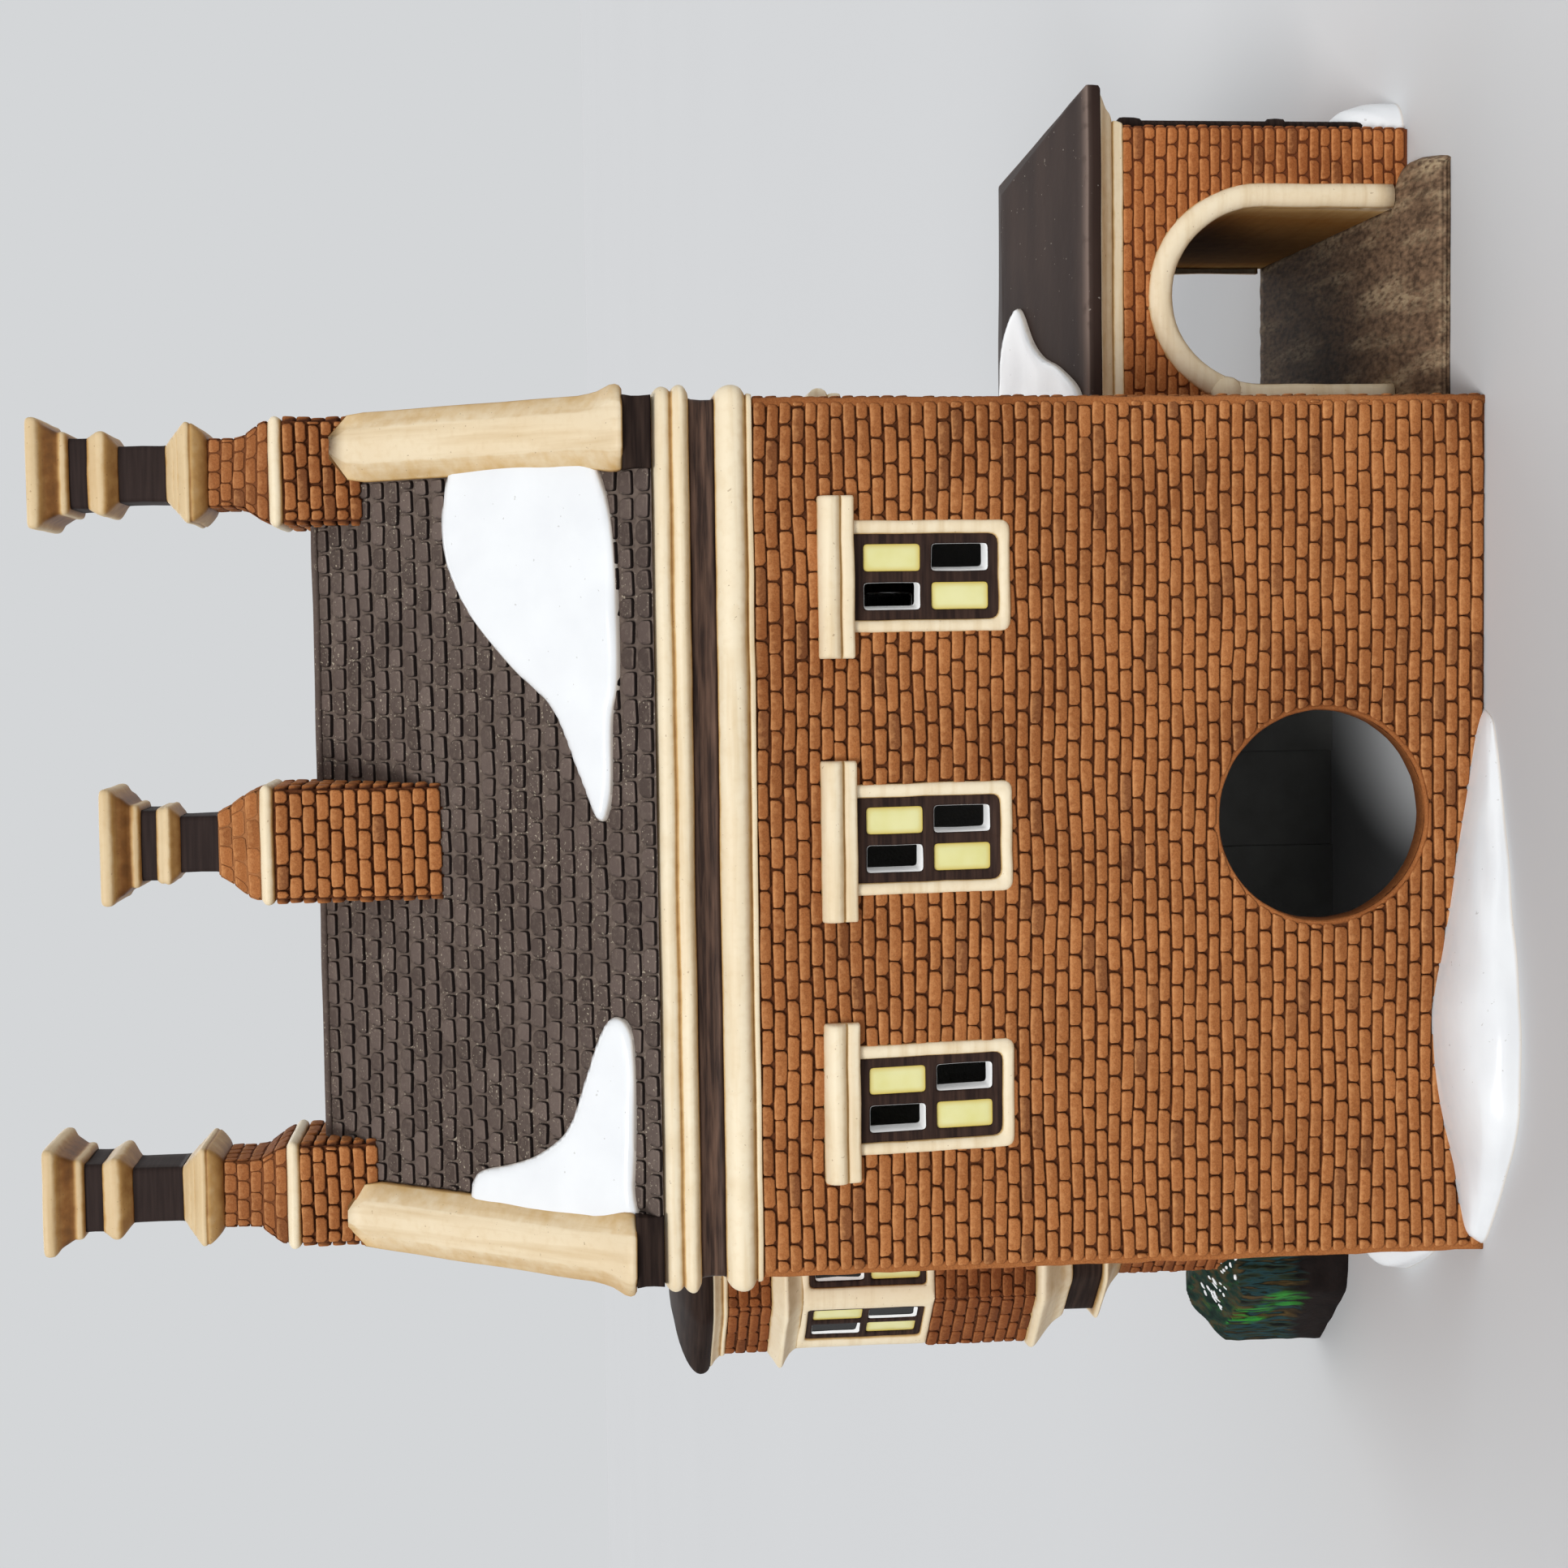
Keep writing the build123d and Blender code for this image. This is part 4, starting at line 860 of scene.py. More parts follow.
# The section of a coping, as (place across it, height over the slope, rise); the lower rise on its bevels and
# sides paints shade on them
COPING_SECTION = ((0.0, -0.6, 0.15), (0.0, 0.9, 0.45), (0.2, 1.3, 0.66), (2.55, 2.95, 0.76), (3.0, 3.2, 0.92),
                  (7.8, 3.2, 0.92), (8.25, 2.95, 0.78), (10.6, 1.3, 0.66), (COPING_W, 0.9, 0.55),
                  (COPING_W, -0.6, 0.3))
# How far the foot of a coping spreads, as (height, spread)
COPING_FLARE = [(0.0, 0.5), (0.35, 1.0), (0.9, 1.25), (1.7, 1.2), (2.5, 0.85), (3.4, 0.45), (4.6, 0.2),
                (6.2, 0.0)]


def coping(name, side, rear):
    """The coping of half a gable, spread at its foot and drawn in at its head."""
    tan, half, head, flared, steps = math.tan(SLOPE), COPING_W / 2, 4.5, COPING_FLARE[-1][0], 14
    stop = CHIMNEY_BACK if rear else -2 * RIDGE_Y - CHIMNEY_BACK - CHIMNEY_D
    top = (EAVE_OUT + stop) * tan + 5.0 - KNEELER_H
    skin = Skin(wobble=0.14)
    loops = []
    for up, flare in COPING_FLARE + [(flared + (top - flared) * k / steps, 0.0) for k in range(1, steps + 1)]:
        z = EAVE_Z + KNEELER_H + up
        narrow = math.sqrt(max(0.1, 1 - max(0.0, (up - top + head) / head) ** 2))
        points = []
        for x, h, _ in COPING_SECTION:
            y = EAVE_OUT - (z - EAVE_Z) / tan + h / math.sin(SLOPE) + flare * min(max(h, 0) / 1.5, 1)
            y = max(y, -stop + 0.75)
            across = COPING_IN + half + (x - half) * narrow + (flare if x > half else -0.5 * flare)
            points.append((side * across, y if rear else 2 * RIDGE_Y - y, z))
        # The foot, where the coping sits on the kneeler, is darker as painted shade
        wear_and_painted_light = 0.6 if up < 0.2 else 1
        loops.append(skin.loop(points, [rise * wear_and_painted_light for _, _, rise in COPING_SECTION]))
    skin.solid(loops)
    skin.make(name, COPING, "trim", name)


def build_copings():
    for end, side in (("porch_end", -1), ("turret_end", 1)):
        for half, rear in (("rear", True), ("front", False)):
            coping("coping_" + half + "_" + end, side, rear)
    kneelers()


def kneelers():
    """The dark blocks under the feet of the copings."""
    skin = Skin(wobble=0.1, wave=4.0)
    half, out, back = 5, 2.0, -6.0
    levels = [(EAVE_Z + up, reach, rise) for up, reach, rise in (
        (0.0, 0.35, 0.3), (0.5, 0.3, 0.7), (1.6, 0.22, 1.0), (2.8, 0.22, 1.0), (3.7, 0.35, 0.8),
        (KNEELER_H, 0.4, 0.3))]
    for middle in (-KNEELER_X, KNEELER_X):
        for rear in (True, False):
            def block(reach):
                y0, y1 = (back, out + reach) if rear else (2 * RIDGE_Y - out - reach, 2 * RIDGE_Y - back)
                return soft_corners(rect(middle - half - reach, middle + half + reach, y0, y1), 0.3, 3)

            loft(skin, levels, block)
    skin.make("kneelers", DARK, "dark")


def lofted(name, material, slot, levels, outline, nodes, wobble, wave):
    """A piece of outlines one above the next."""
    skin = Skin(wobble, wave)
    loft(skin, levels, outline)
    skin.make(name, material, slot, *nodes)


class Chimney(NamedTuple):
    """The place of a chimney and the sizes of its pieces, from its base to its cap."""
    name: str
    x: float
    y: float
    w: float
    deep: float
    base_top: float
    taper_h: float
    neck_w: float
    neck_h: float
    flue_h: float
    ring_w: float
    ring_h: float
    collar_h: float
    cap_w: float
    cap_h: float
    moulded: bool
    outer: int
    neck_paint: bpy.types.Material

    def neck(self, foot, facing, side):
        """The face of the neck over a side of the base."""
        foot = foot + Vector((0, 0, self.base_top + BAND_H))
        return Bell(foot, facing, self.taper_h + 0.8, (self.w - self.neck_w) / 2, side)

    def square(self, size):
        long = size + self.deep - self.w
        corners = rect(self.x - size / 2, self.x + size / 2, self.y - long / 2, self.y + long / 2)
        return soft_corners(corners, 0.9, 4, 3)


def chimney_bricks(c, rng):
    """The bricks of a chimney's base, cut to the roof, and of its neck."""
    skin, neck = Skin(), Skin()
    for nx, ny in ((0, 1), (0, -1), (1, 0), (-1, 0)):
        side = (c.w if ny else c.deep) / 2 - 0.05
        foot = Vector((c.x + nx * c.w / 2, c.y + ny * c.deep / 2, 0))
        face = Face(foot, (nx, ny))
        if ny or nx == c.outer:
            low = roof_z(c.y + c.deep / 2 * (ny or -1))
            brick_panel(skin, rng, face, rect(-side, side, low, c.base_top), **CHIMNEY_LAY)
        else:
            for edge in (c.y + c.deep / 2, c.y - c.deep / 2):
                shape = [(edge, roof_z(edge)), (RIDGE_Y, RIDGE_Z), (RIDGE_Y, c.base_top), (edge, c.base_top)]
                shape = counter_clockwise([((at - c.y) * nx, z) for at, z in shape])
                brick_panel(skin, rng, face, shape, **CHIMNEY_LAY)
        over = rect(-side, side, 0, c.taper_h + c.neck_h)
        brick_panel(neck, rng, c.neck(foot, (nx, ny), side), over, **NECK_LAY)
    skin.make(c.name + "_bricks", BRICK, "brick")
    neck.make(c.name + "_neck_bricks", c.neck_paint, "brick")


def chimney_pieces(c):
    """The pieces of a chimney over its base, each on the one below."""
    def piece(label, material, slot, levels, replaced=True):
        node = c.name + "_" + label
        lofted(node, material, slot, levels, c.square, [node] if replaced else [], 0.12, 5.0)

    piece("band", CREAM, "trim", profile(c.base_top, BAND_H, (
        (0, c.w + 0.2, 0.3), (0.15, c.w + 1.2, 0.7), (0.45, c.w + 1.8, 1.0), (0.75, c.w + 1.5, 1.0),
        (1, c.w + 0.3, 0.7))))
    low, bell = c.base_top + BAND_H, c.neck(Vector(), (0, 1), c.w)
    heights = [(c.taper_h + c.neck_h) * k / 16 for k in range(17)]
    piece("stack", c.neck_paint, "brick", [(low + up, c.w - 2 * bell.inward(up), 0.3) for up in heights])
    top = low + c.taper_h + c.neck_h
    moulding = (
        (0, c.neck_w + 0.3, 0.3), (0.06, c.neck_w + 1.8, 0.45), (0.2, 14.2, 0.62), (0.32, 15.3, 0.6),
        (0.36, 15.2, 0.35), (0.4, 15.6, 0.8), (0.47, 15.7, 1.0), (0.53, 15.1, 1.0), (0.6, 14.2, 0.95),
        (0.68, 12.9, 0.75), (0.7, 12.8, 0.95), (0.8, 11.3, 0.8), (0.82, 11.2, 0.95), (0.94, 9.4, 0.85),
        (1, 8.7, 0.5))
    flue = ((0, 9.0, 0.3), (0.1, 8.8, 0.8), (0.9, 8.8, 0.9), (1, 8.9, 0.3))
    ring = (
        (0, 8.7, 0.3), (0.12, 9.8, 0.42), (0.3, c.ring_w - 1.2, 0.5), (0.42, c.ring_w - 0.2, 0.72),
        (0.55, c.ring_w, 0.9), (0.68, c.ring_w - 0.3, 1.0), (0.85, 11.9, 0.95), (1, 11.1, 0.5))
    collar = ((0, 11.0, 0.4), (0.5, 10.9, 0.9), (1, 11.0, 0.4))
    # The low rise in the cap's cove gives a brown wash and painted shade there
    cap = (
        (0, 11.3, 0.4), (0.05, 12.5, 0.7), (0.14, 12.9, 0.9), (0.22, 12.8, 0.5), (0.28, 12.9, 0.27),
        (0.44, c.cap_w - 3.2, 0.25), (0.58, c.cap_w - 2.2, 0.37), (0.68, c.cap_w - 0.7, 0.72),
        (0.76, c.cap_w - 0.1, 0.9), (0.88, c.cap_w, 0.95), (0.97, c.cap_w - 0.4, 0.9),
        (1, c.cap_w - 1.2, 0.88))
    # The collar laps over the ring and the cap, and stands for no node
    for label, material, slot, height, lap, steps in (
            ("moulding", CHIMNEY_CREAM, "trim", MOULDING_H if c.moulded else 0, 0, moulding),
            ("flue", FLUE, "dark", c.flue_h, 0, flue),
            ("ring", CHIMNEY_CREAM, "trim", c.ring_h, 0, ring),
            ("collar", FLUE, "dark", c.collar_h, 0.2, collar),
            ("cap", CHIMNEY_CREAM, "trim", c.cap_h, 0, cap)):
        if height:
            piece(label, material, slot, profile(top - lap, height + 2 * lap, steps), replaced=not lap)
            top += height


def build_chimneys():
    rng = random.Random(21)
    end_y, middle_y = -CHIMNEY_BACK - CHIMNEY_D / 2, -MIDDLE_BACK - MIDDLE_D / 2
    end = Chimney("porch_end_chimney", -CHIMNEY_X, end_y, CHIMNEY_W, CHIMNEY_D, base_top=RIDGE_Z + 4.3,
                  taper_h=4.6, neck_w=10.5, neck_h=5.1, flue_h=7.2, ring_w=13.1, ring_h=4.6, collar_h=2.8,
                  cap_w=17.2, cap_h=6.1, moulded=True, outer=-1, neck_paint=NECK_BRICK)
    other = end._replace(name="turret_end_chimney", x=CHIMNEY_X, neck_h=5.6, flue_h=7.7, outer=1)
    middle = Chimney("middle_chimney", MIDDLE_X, middle_y, MIDDLE_W, MIDDLE_D, base_top=RIDGE_Z + 6.1,
                     taper_h=6.7, neck_w=9.6, neck_h=0.1, flue_h=5.8, ring_w=12.2, ring_h=3.5, collar_h=2.3,
                     cap_w=18.0, cap_h=5.8, moulded=False, outer=0, neck_paint=PALE_NECK)
    for one in (end, other, middle):
        chimney_bricks(one, rng)
        chimney_pieces(one)


# The section of a lintel, as (how far out, height, rise)
LINTEL_SECTION = ((-0.3, 0.0, 0.4), (1.7, -0.05, 0.65), (2.05, 0.1, 0.95), (2.2, 0.5, 1.0), (2.2, 1.3, 1.0),
                  (2.1, 1.75, 0.85), (1.85, 1.9, 0.4), (2.05, 2.05, 0.5), (2.55, 2.3, 0.9), (2.95, 2.9, 1.0),
                  (3.0, 3.6, 1.0), (2.8, 4.2, 1.0), (2.3, 4.75, 1.0), (1.5, 5.15, 0.9), (0.6, 5.3, 0.6),
                  (-0.3, 5.3, 0.3))


class Windows:
    """The painted pieces of all the windows."""

    def __init__(self):
        self.sash, self.pane, self.shade_sheet = Skin(0.05, 3.0), Skin(), Skin()
        self.reveal, self.frame, self.lintel = Skin(0.08, 3.0), Skin(0.12, 4.0), Skin(0.1, 6.0)

    def add(self, face, a, b, width, height, lean=0.0, deep=1.3, open_back=False, rail=1.5, bar=1.7):
        """A sash of four panes; the upper left and the lower right one are open where the back is open, and
        elsewhere backed by a dark sheet of painted shade.
        """
        def on(points, h, slip=0.0):
            return [face.at(a + slip + x + lean * (height / 2 - y), b + slip + y, h) for x, y in points]

        for column in (-1, 1):
            for row in (0, 1):
                x0, x1 = sorted((0.0, column * width / 2))
                y0, y1 = row * height / 2, (row + 1) * height / 2
                p0, p1 = (x0 + rail, x1 - bar / 2) if column < 0 else (x0 + bar / 2, x1 - rail)
                q0, q1 = (y0 + rail, y1 - bar / 2) if row == 0 else (y0 + bar / 2, y1 - rail)

                def pane(inset):
                    return soft_corners(rect(p0, p1, q0, q1, inset), 0.6, 2, 3)

                quarter = soft_corners(rect(x0, x1, y0, y1), 0.01, 2, 3)
                self.sash.sheet([self.sash.loop(on(points, h), rise) for points, h, rise in (
                    (quarter, 0.32, 1.0), (pane(-0.3), 0.34, 1.0), (pane(-0.08), 0.2, 0.8),
                    (pane(0), -0.1, 0.35))])
                if (column < 0) == (row == 1):
                    self.reveal.sheet([self.reveal.loop(on(pane(inset), h, slip)) for inset, h, slip in (
                        (0, 0.02, 0.0), (0.03, 0.0, 0.0), (0.12, -0.5 * deep, 0.22), (0.22, -deep, 0.4))])
                    if not open_back:
                        # A dark sheet behind the pane, painted shade for the dark inside
                        self.shade_sheet.fill(self.shade_sheet.loop(on(pane(0.1), -deep + 0.05, 0.3)))
                else:
                    self.pane.dome([self.pane.loop(on(pane(inset), h), rise) for inset, h, rise in (
                        (0, -0.1, 0.0), (0.25, -0.12, 0.45), (0.7, -0.06, 0.8), (1.3, -0.02, 1.0))])
        return on

    def trim(self, on, width, height, low=1.8):
        """The frame round an opening, and the lintel over it."""
        self.add_frame(on, width, height, low)
        self.add_lintel(on, height)

    def add_frame(self, on, width, height, low):
        left, right = 1.8, 2.0

        def ring(grow):
            corners = rect(-width / 2 - left * grow, width / 2 + right * grow, -low * grow, height + 1.5)
            return soft_corners(corners, 1.5, 6, 4)

        self.frame.sheet([self.frame.loop(on(ring(grow), h), rise) for grow, h, rise in (
            (1.03, 0.0, 0.2), (1.0, 0.5, 0.6), (0.9, 0.95, 1.0), (0.65, 1.12, 1.0), (0.35, 1.08, 1.0),
            (0.1, 0.85, 0.85), (0.0, 0.5, 0.5), (-0.03, -0.4, 0.2))])

    def add_lintel(self, on, height):
        """A lintel with rounded ends, from (place along it, how far out, how much taller)."""
        half, end, steps = 12.0, 1.0, 8
        ends = ((0.0, 0.62, 0.25), (0.08, 0.86, 0.1), (0.4, 0.98, 0.0))
        run = [(-half + end + (half - end) * 2 * k / steps, 1.0, 0.0) for k in range(steps + 1)]
        first = [(-half + x, out, tall) for x, out, tall in ends]
        last = [(half - x, out, tall) for x, out, tall in reversed(ends)]
        loops = []
        for x, out, tall in first + run + last:
            points = []
            for h, y, _ in LINTEL_SECTION:
                points += on([(x, height + 0.1 + y + tall * (1 - y / 2.6))], h * out if h > 0 else h)
            loops.append(self.lintel.loop(points, [rise for _, _, rise in LINTEL_SECTION]))
        self.lintel.solid(loops)

    def make(self):
        self.sash.make("window_sashes", SASH, "sash", "window_sashes")
        self.pane.make("window_panes_lit", PANE, "sash")
        self.shade_sheet.make("window_panes_dark", SHADE_PANE, "sash")
        self.reveal.make("window_reveals", PORCELAIN, "sash")
        self.frame.make("opening_surrounds", CREAM, "trim", "opening_surrounds")
        self.lintel.make("lintels", CREAM, "trim", "lintels")


def turret_face(k, r=TURRET_R):
    """The k-th face of the turret, counted from the one that looks to +X."""
    facing = (math.cos(math.pi / 4 * k), math.sin(math.pi / 4 * k))
    return Face((TURRET_X + r * facing[0], TURRET_Y + r * facing[1], 0), facing)


def turret_stage(windows):
    """The turret's window stage, with windows in the faces that are free of the house."""
    skin = Skin(wobble=0.1, wave=6.0)
    side, high = TURRET_R * math.tan(math.pi / 8), STAGE_TOP - STAGE_Z
    half, low = TURRET_SASH_W / 2, (high - TURRET_SASH_H) / 2
    for k in range(8):
        face = turret_face(k)
        if k not in (0, 1, 2, 6, 7):
            skin.fill(skin.loop([face.at(x, STAGE_Z + y, 0.05) for x, y in rect(-side, side, 0, high)]))
            continue

        def hole(grow):
            return soft_corners(rect(-half, half, low, low + TURRET_SASH_H, -grow), 0.8, 6, 3)

        outer = soft_corners(rect(-side, side, 0, high), 0.01, 6, 3)
        inner = soft_corners(rect(-side + 0.6, side - 0.6, 0.2, high - 0.1), 0.3, 6, 3)
        skin.sheet([skin.loop([face.at(x, STAGE_Z + y, h) for x, y in points], rise) for points, h, rise in (
            (outer, -0.2, 0.9), (inner, 0.1, 1.0), (hole(0.55), 0.14, 1.0), (hole(0.15), 0.0, 0.8),
            (hole(0.0), -0.4, 0.4), (hole(-0.02), -1.2, 0.2))])
        sunk = Face(face.origin - face.out * 0.75, face.out[:2])
        windows.add(sunk, 0.0, STAGE_Z + low, TURRET_SASH_W, TURRET_SASH_H, 0.0, 0.25, rail=1.05, bar=1.2)
    skin.make("turret_window_stage", CREAM, "trim", "turret_window_stage")


def build_windows():
    """All the windows, the turret's window stage and the door."""
    windows = Windows()
    for a, lean in zip(WINDOW_X, (0.028, 0.012, 0.0)):
        windows.trim(windows.add(REAR, a, SILL_Z, SASH_W, SASH_H, lean, 2.0, True), SASH_W, SASH_H)
    places = [(FRONT, a, SILL_Z) for a in WINDOW_X]
    places += [(FRONT, a, LOWER_SILL_Z) for a in (WINDOW_X[0], WINDOW_X[2])]
    for face, a, sill in places + [(PORCH_END, END_WINDOW_X, SILL_Z)]:
        windows.trim(windows.add(face, a, sill, SASH_W, SASH_H), SASH_W, SASH_H)
    turret_stage(windows)

    def on_front(points, h):
        return [FRONT.at(x, y, h) for x, y in points]

    windows.trim(on_front, DOOR_W, DOOR_H, low=-0.2)
    windows.make()
    door_leaf(on_front)


def door_leaf(on_front):
    """The door, with four sunk panels."""
    leaf = Skin(wobble=0.05, wave=4.0)
    for y0 in (0, DOOR_H / 2):
        for x0 in (-DOOR_W / 2, 0):
            panel = (x0, x0 + DOOR_W / 2, y0, y0 + DOOR_H / 2)
            loops = []
            for inset, h, rise in ((0, 0.25, 1.0), (1.5, 0.28, 1.0), (1.8, 0.05, 0.3), (2.1, -0.1, 0.2),
                                   (2.7, -0.05, 0.8), (3.3, 0.2, 1.0)):
                outline = soft_corners(rect(*panel, inset), 0.2, 2, 2)
                loops.append(leaf.loop(on_front(outline, h), rise))
            leaf.dome(loops)
    leaf.make("front_door_leaf", DOOR, "door")


def outside_house(x, y):
    """A point of the turret, kept out of the main block."""
    clear = 0.05
    if x < HALF_W + clear and y > -DEPTH - clear:
        return (HALF_W + clear, y) if HALF_W - x < y + DEPTH else (x, -DEPTH - clear)
    return (x, y)


def octagon(r):
    corner = r / math.cos(math.pi / 8)
    turns = [math.pi / 8 + math.pi / 4 * k for k in range(8)]
    corners = [(TURRET_X + corner * math.cos(t), TURRET_Y + corner * math.sin(t)) for t in turns]
    return [outside_house(x, y) for x, y in soft_corners(corners, 1.2, 4, 3)]


def turret_bricks():
    """The bricks of the turret's pier and drums, where its faces are free of the house."""
    rng = random.Random(33)
    skin = Skin()
    steps = 20
    for r, z0, z1 in ((PIER_R, BRICK_FOOT, 41.2), (TURRET_R, 59.2, STAGE_Z), (TURRET_R, 105.2, 112.9)):
        for k in range(8):
            face = turret_face(k, r)
            side = r * math.tan(math.pi / 8) + 0.1
            free = [a for a in (side * (j / steps - 1) for j in range(2 * steps + 1)) for p in [face.at(a, 0)]
                    if p.x > HALF_W + CLEAR or p.y < -DEPTH - CLEAR]
            if len(free) > 3:
                brick_panel(skin, rng, face, rect(min(free), max(free), z0, z1), proud=0.4)
    skin.make("turret_bricks", TURRET_BRICK, "brick")


def build_turret():
    """The turret's bricks, and its mouldings and roof from (height, radius, rise)."""
    turret_bricks()

    def piece(name, material, slot, levels, *nodes):
        lofted(name, material, slot, levels, octagon, nodes, 0.14, 7.0)

    def over_drum(*levels):
        """Levels with their sizes given over the radius of the drum, made smooth."""
        return smoothed([(z, TURRET_R + out, rise) for z, out, rise in levels], 2)

    piece("turret_corbel", CREAM, "trim", smoothed([
        (51.9, 14.6, 0.3), (52.1, 15.3, 0.6), (52.6, 15.7, 0.8), (54.0, 16.5, 0.75), (55.4, 17.8, 0.85),
        (56.8, 19.3, 0.95), (57.7, 20.2, 1.0), (58.3, 20.4, 1.0), (58.9, 20.0, 0.9), (59.3, 19.1, 0.6),
        (59.4, 18.7, 0.3)], 2), "turret_corbel")
    piece("turret_corbel_foot", CREAM, "trim", smoothed([
        (41.0, 8.7, 0.3), (41.6, 9.4, 0.6), (42.8, 10.6, 0.75), (44.0, 12.4, 0.85), (45.1, 14.6, 0.95),
        (45.7, 15.8, 1.0), (46.1, 16.1, 1.0), (46.4, 15.7, 0.8), (46.6, 14.6, 0.3)], 2))
    piece("turret_belt", DARK, "dark", [
        (46.4, 14.5, 0.3), (47.0, 14.45, 0.9), (51.5, 14.45, 0.9), (52.1, 14.5, 0.3)])
    piece("turret_hood", CREAM, "trim", over_drum(
        (99.9, 0.1, 0.5), (100.4, 0.3, 0.8), (101.3, 1.0, 0.85), (102.2, 2.2, 0.95), (102.7, 3.0, 1.0),
        (103.1, 3.2, 1.0), (103.5, 3.0, 1.0), (104.3, 1.8, 0.95), (105.1, 0.7, 0.8), (105.4, 0.0, 0.4)))
    piece("turret_cornice", CREAM, "trim", over_drum(
        (112.7, 0.0, 0.4), (112.9, 0.7, 0.7), (113.4, 0.9, 0.9), (113.7, 0.8, 0.35), (113.9, 1.0, 0.6),
        (114.5, 1.5, 0.95), (115.1, 2.3, 1.0), (115.5, 2.5, 0.8), (115.6, 1.5, 0.4)), "turret_cornice")
    piece("turret_roof", DARK, "dark", over_drum(
        (115.5, 2.0, 0.3), (115.6, 2.8, 0.5), (116.2, 3.4, 0.9), (117.2, 3.6, 1.0), (118.3, 3.0, 1.0),
        (119.5, 1.3, 1.0), (120.6, -1.5, 1.0), (121.4, -5.0, 1.0), (121.9, -10.0, 1.0), (122.1, -16.0, 1.0)),
        "turret_roof")


# The section of the arch moulding, as (place across it, how far out, rise)
ARCH_SECTION = ((-0.15, -0.8, 0.35), (-0.1, 0.7, 0.7), (0.1, 1.15, 0.95), (0.7, 1.6, 1.0), (1.7, 1.8, 1.0),
                (2.7, 1.55, 1.0), (3.4, 0.95, 0.9), (3.7, 0.35, 0.6), (3.8, -0.2, 0.3))


def arch_path(grow, foot):
    """Points round the archway as (a, z), from its right foot over the crown to its left foot."""
    half, steps, rows = ARCH_HALF + grow, 30, 8
    leg = [foot + (ARCH_SPRING - foot) * k / rows for k in range(rows)]
    turns = [math.pi * k / steps for k in range(steps + 1)]
    high = ARCH_CROWN - ARCH_SPRING + grow
    crown = [(half * math.cos(t), ARCH_SPRING + high * math.sin(t)) for t in turns]
    return [(half, z) for z in leg] + crown + [(-half, z) for z in leg[::-1]]


def porch_arch(name, face, middle, lip):
    """An arch moulding round an opening of the porch, the rear one with a curl at its left springing."""
    skin = Skin(wobble=0.16, wave=6.0)
    paths = [arch_path(across - lip * (across < 0.5), 2.6 + 3.2 * lip) for across, _, _ in ARCH_SECTION]
    rises = [rise for _, _, rise in ARCH_SECTION]
    loops = []
    for row in zip(*paths):
        points = [face.at(middle + a, z, h) for (a, z), (_, h, _) in zip(row, ARCH_SECTION)]
        loops.append(skin.loop(points, rises))
    skin.sheet(loops, closed=False)
    skin.fill(loops[0])
    skin.fill(loops[-1], flip=True)
    if lip == 0:
        curl_a, curl_z = middle - 15.4, 30.6
        loops = []
        for h, size in ((-0.2, 0.3), (0.5, 1.7), (1.2, 2.0), (1.9, 1.6), (2.3, 0.3)):
            ring = [face.at(curl_a + size * 1.15 * c, curl_z + size * 1.35 * s, h) for c, s in circle(14)]
            loops.append(skin.loop(ring))
        skin.solid(loops)
    skin.make(name, CREAM, "trim", name)


def over_porch(out_x, out_y, skew):
    """An outline over the porch, past its sides, with its front outer corner drawn in by the skew."""
    inner = -HALF_W - CLEAR
    return soft_corners([(PORCH_X0 - out_x + skew, PORCH_Y1 - out_y + skew), (inner, PORCH_Y1 - out_y),
                         (inner, PORCH_Y0 + out_y), (PORCH_X0 - out_x, PORCH_Y0 + out_y)], 0.5, 12, 3)


def porch_cornice():
    lofted("porch_cornice", CREAM, "trim", smoothed([
        (47.4, 0.0, 0.3), (47.5, 0.5, 0.5), (47.9, 0.75, 0.85), (48.8, 0.95, 0.9), (49.2, 0.9, 0.6),
        (49.35, 0.75, 0.35), (49.5, 1.1, 0.6), (49.9, 1.8, 0.9), (50.7, 2.5, 0.85), (51.4, 3.5, 0.95),
        (51.9, 4.2, 1.0), (52.2, 4.3, 0.7), (52.25, 3.5, 0.3)], 2),
        lambda out: over_porch(out, out, 0.43 * out), ["porch_cornice"], 0.1, 8.0)


def porch_roof():
    """The porch's roof, with a lip and a hip that swells a little."""
    skin = Skin(wobble=0.1, wave=12.0)
    lip, skew, swell, steps = 5.3, 2.4, 0.4, 20
    # The rise peaks along the top of the lip for a painted highlight line
    loops = [skin.loop([(x, y, z) for x, y in over_porch(out, out, skew)], rise) for z, out, rise in (
        (52.2, 4.4, 0.0), (52.25, 5.2, 0.0), (52.6, 5.55, 0.0), (53.6, 5.6, 0.0), (54.25, 5.6, 0.15),
        (54.55, 5.55, 0.9), (PORCH_LIP_Z, lip, 0.7))]
    for k in range(1, steps + 1):
        f = k / steps * 0.985
        z = PORCH_LIP_Z + PORCH_RISE * math.sin(f * swell) / math.sin(swell)
        outline = over_porch(lip - 10.4 * f, lip - 37.8 * f, skew * (1 - f))
        loops.append(skin.loop([(x, y, z) for x, y in outline], 0.1 if k < 2 else 0.0))
    skin.solid(loops)
    skin.make("porch_roof", PORCH_ROOF, "dark", "porch_roof")


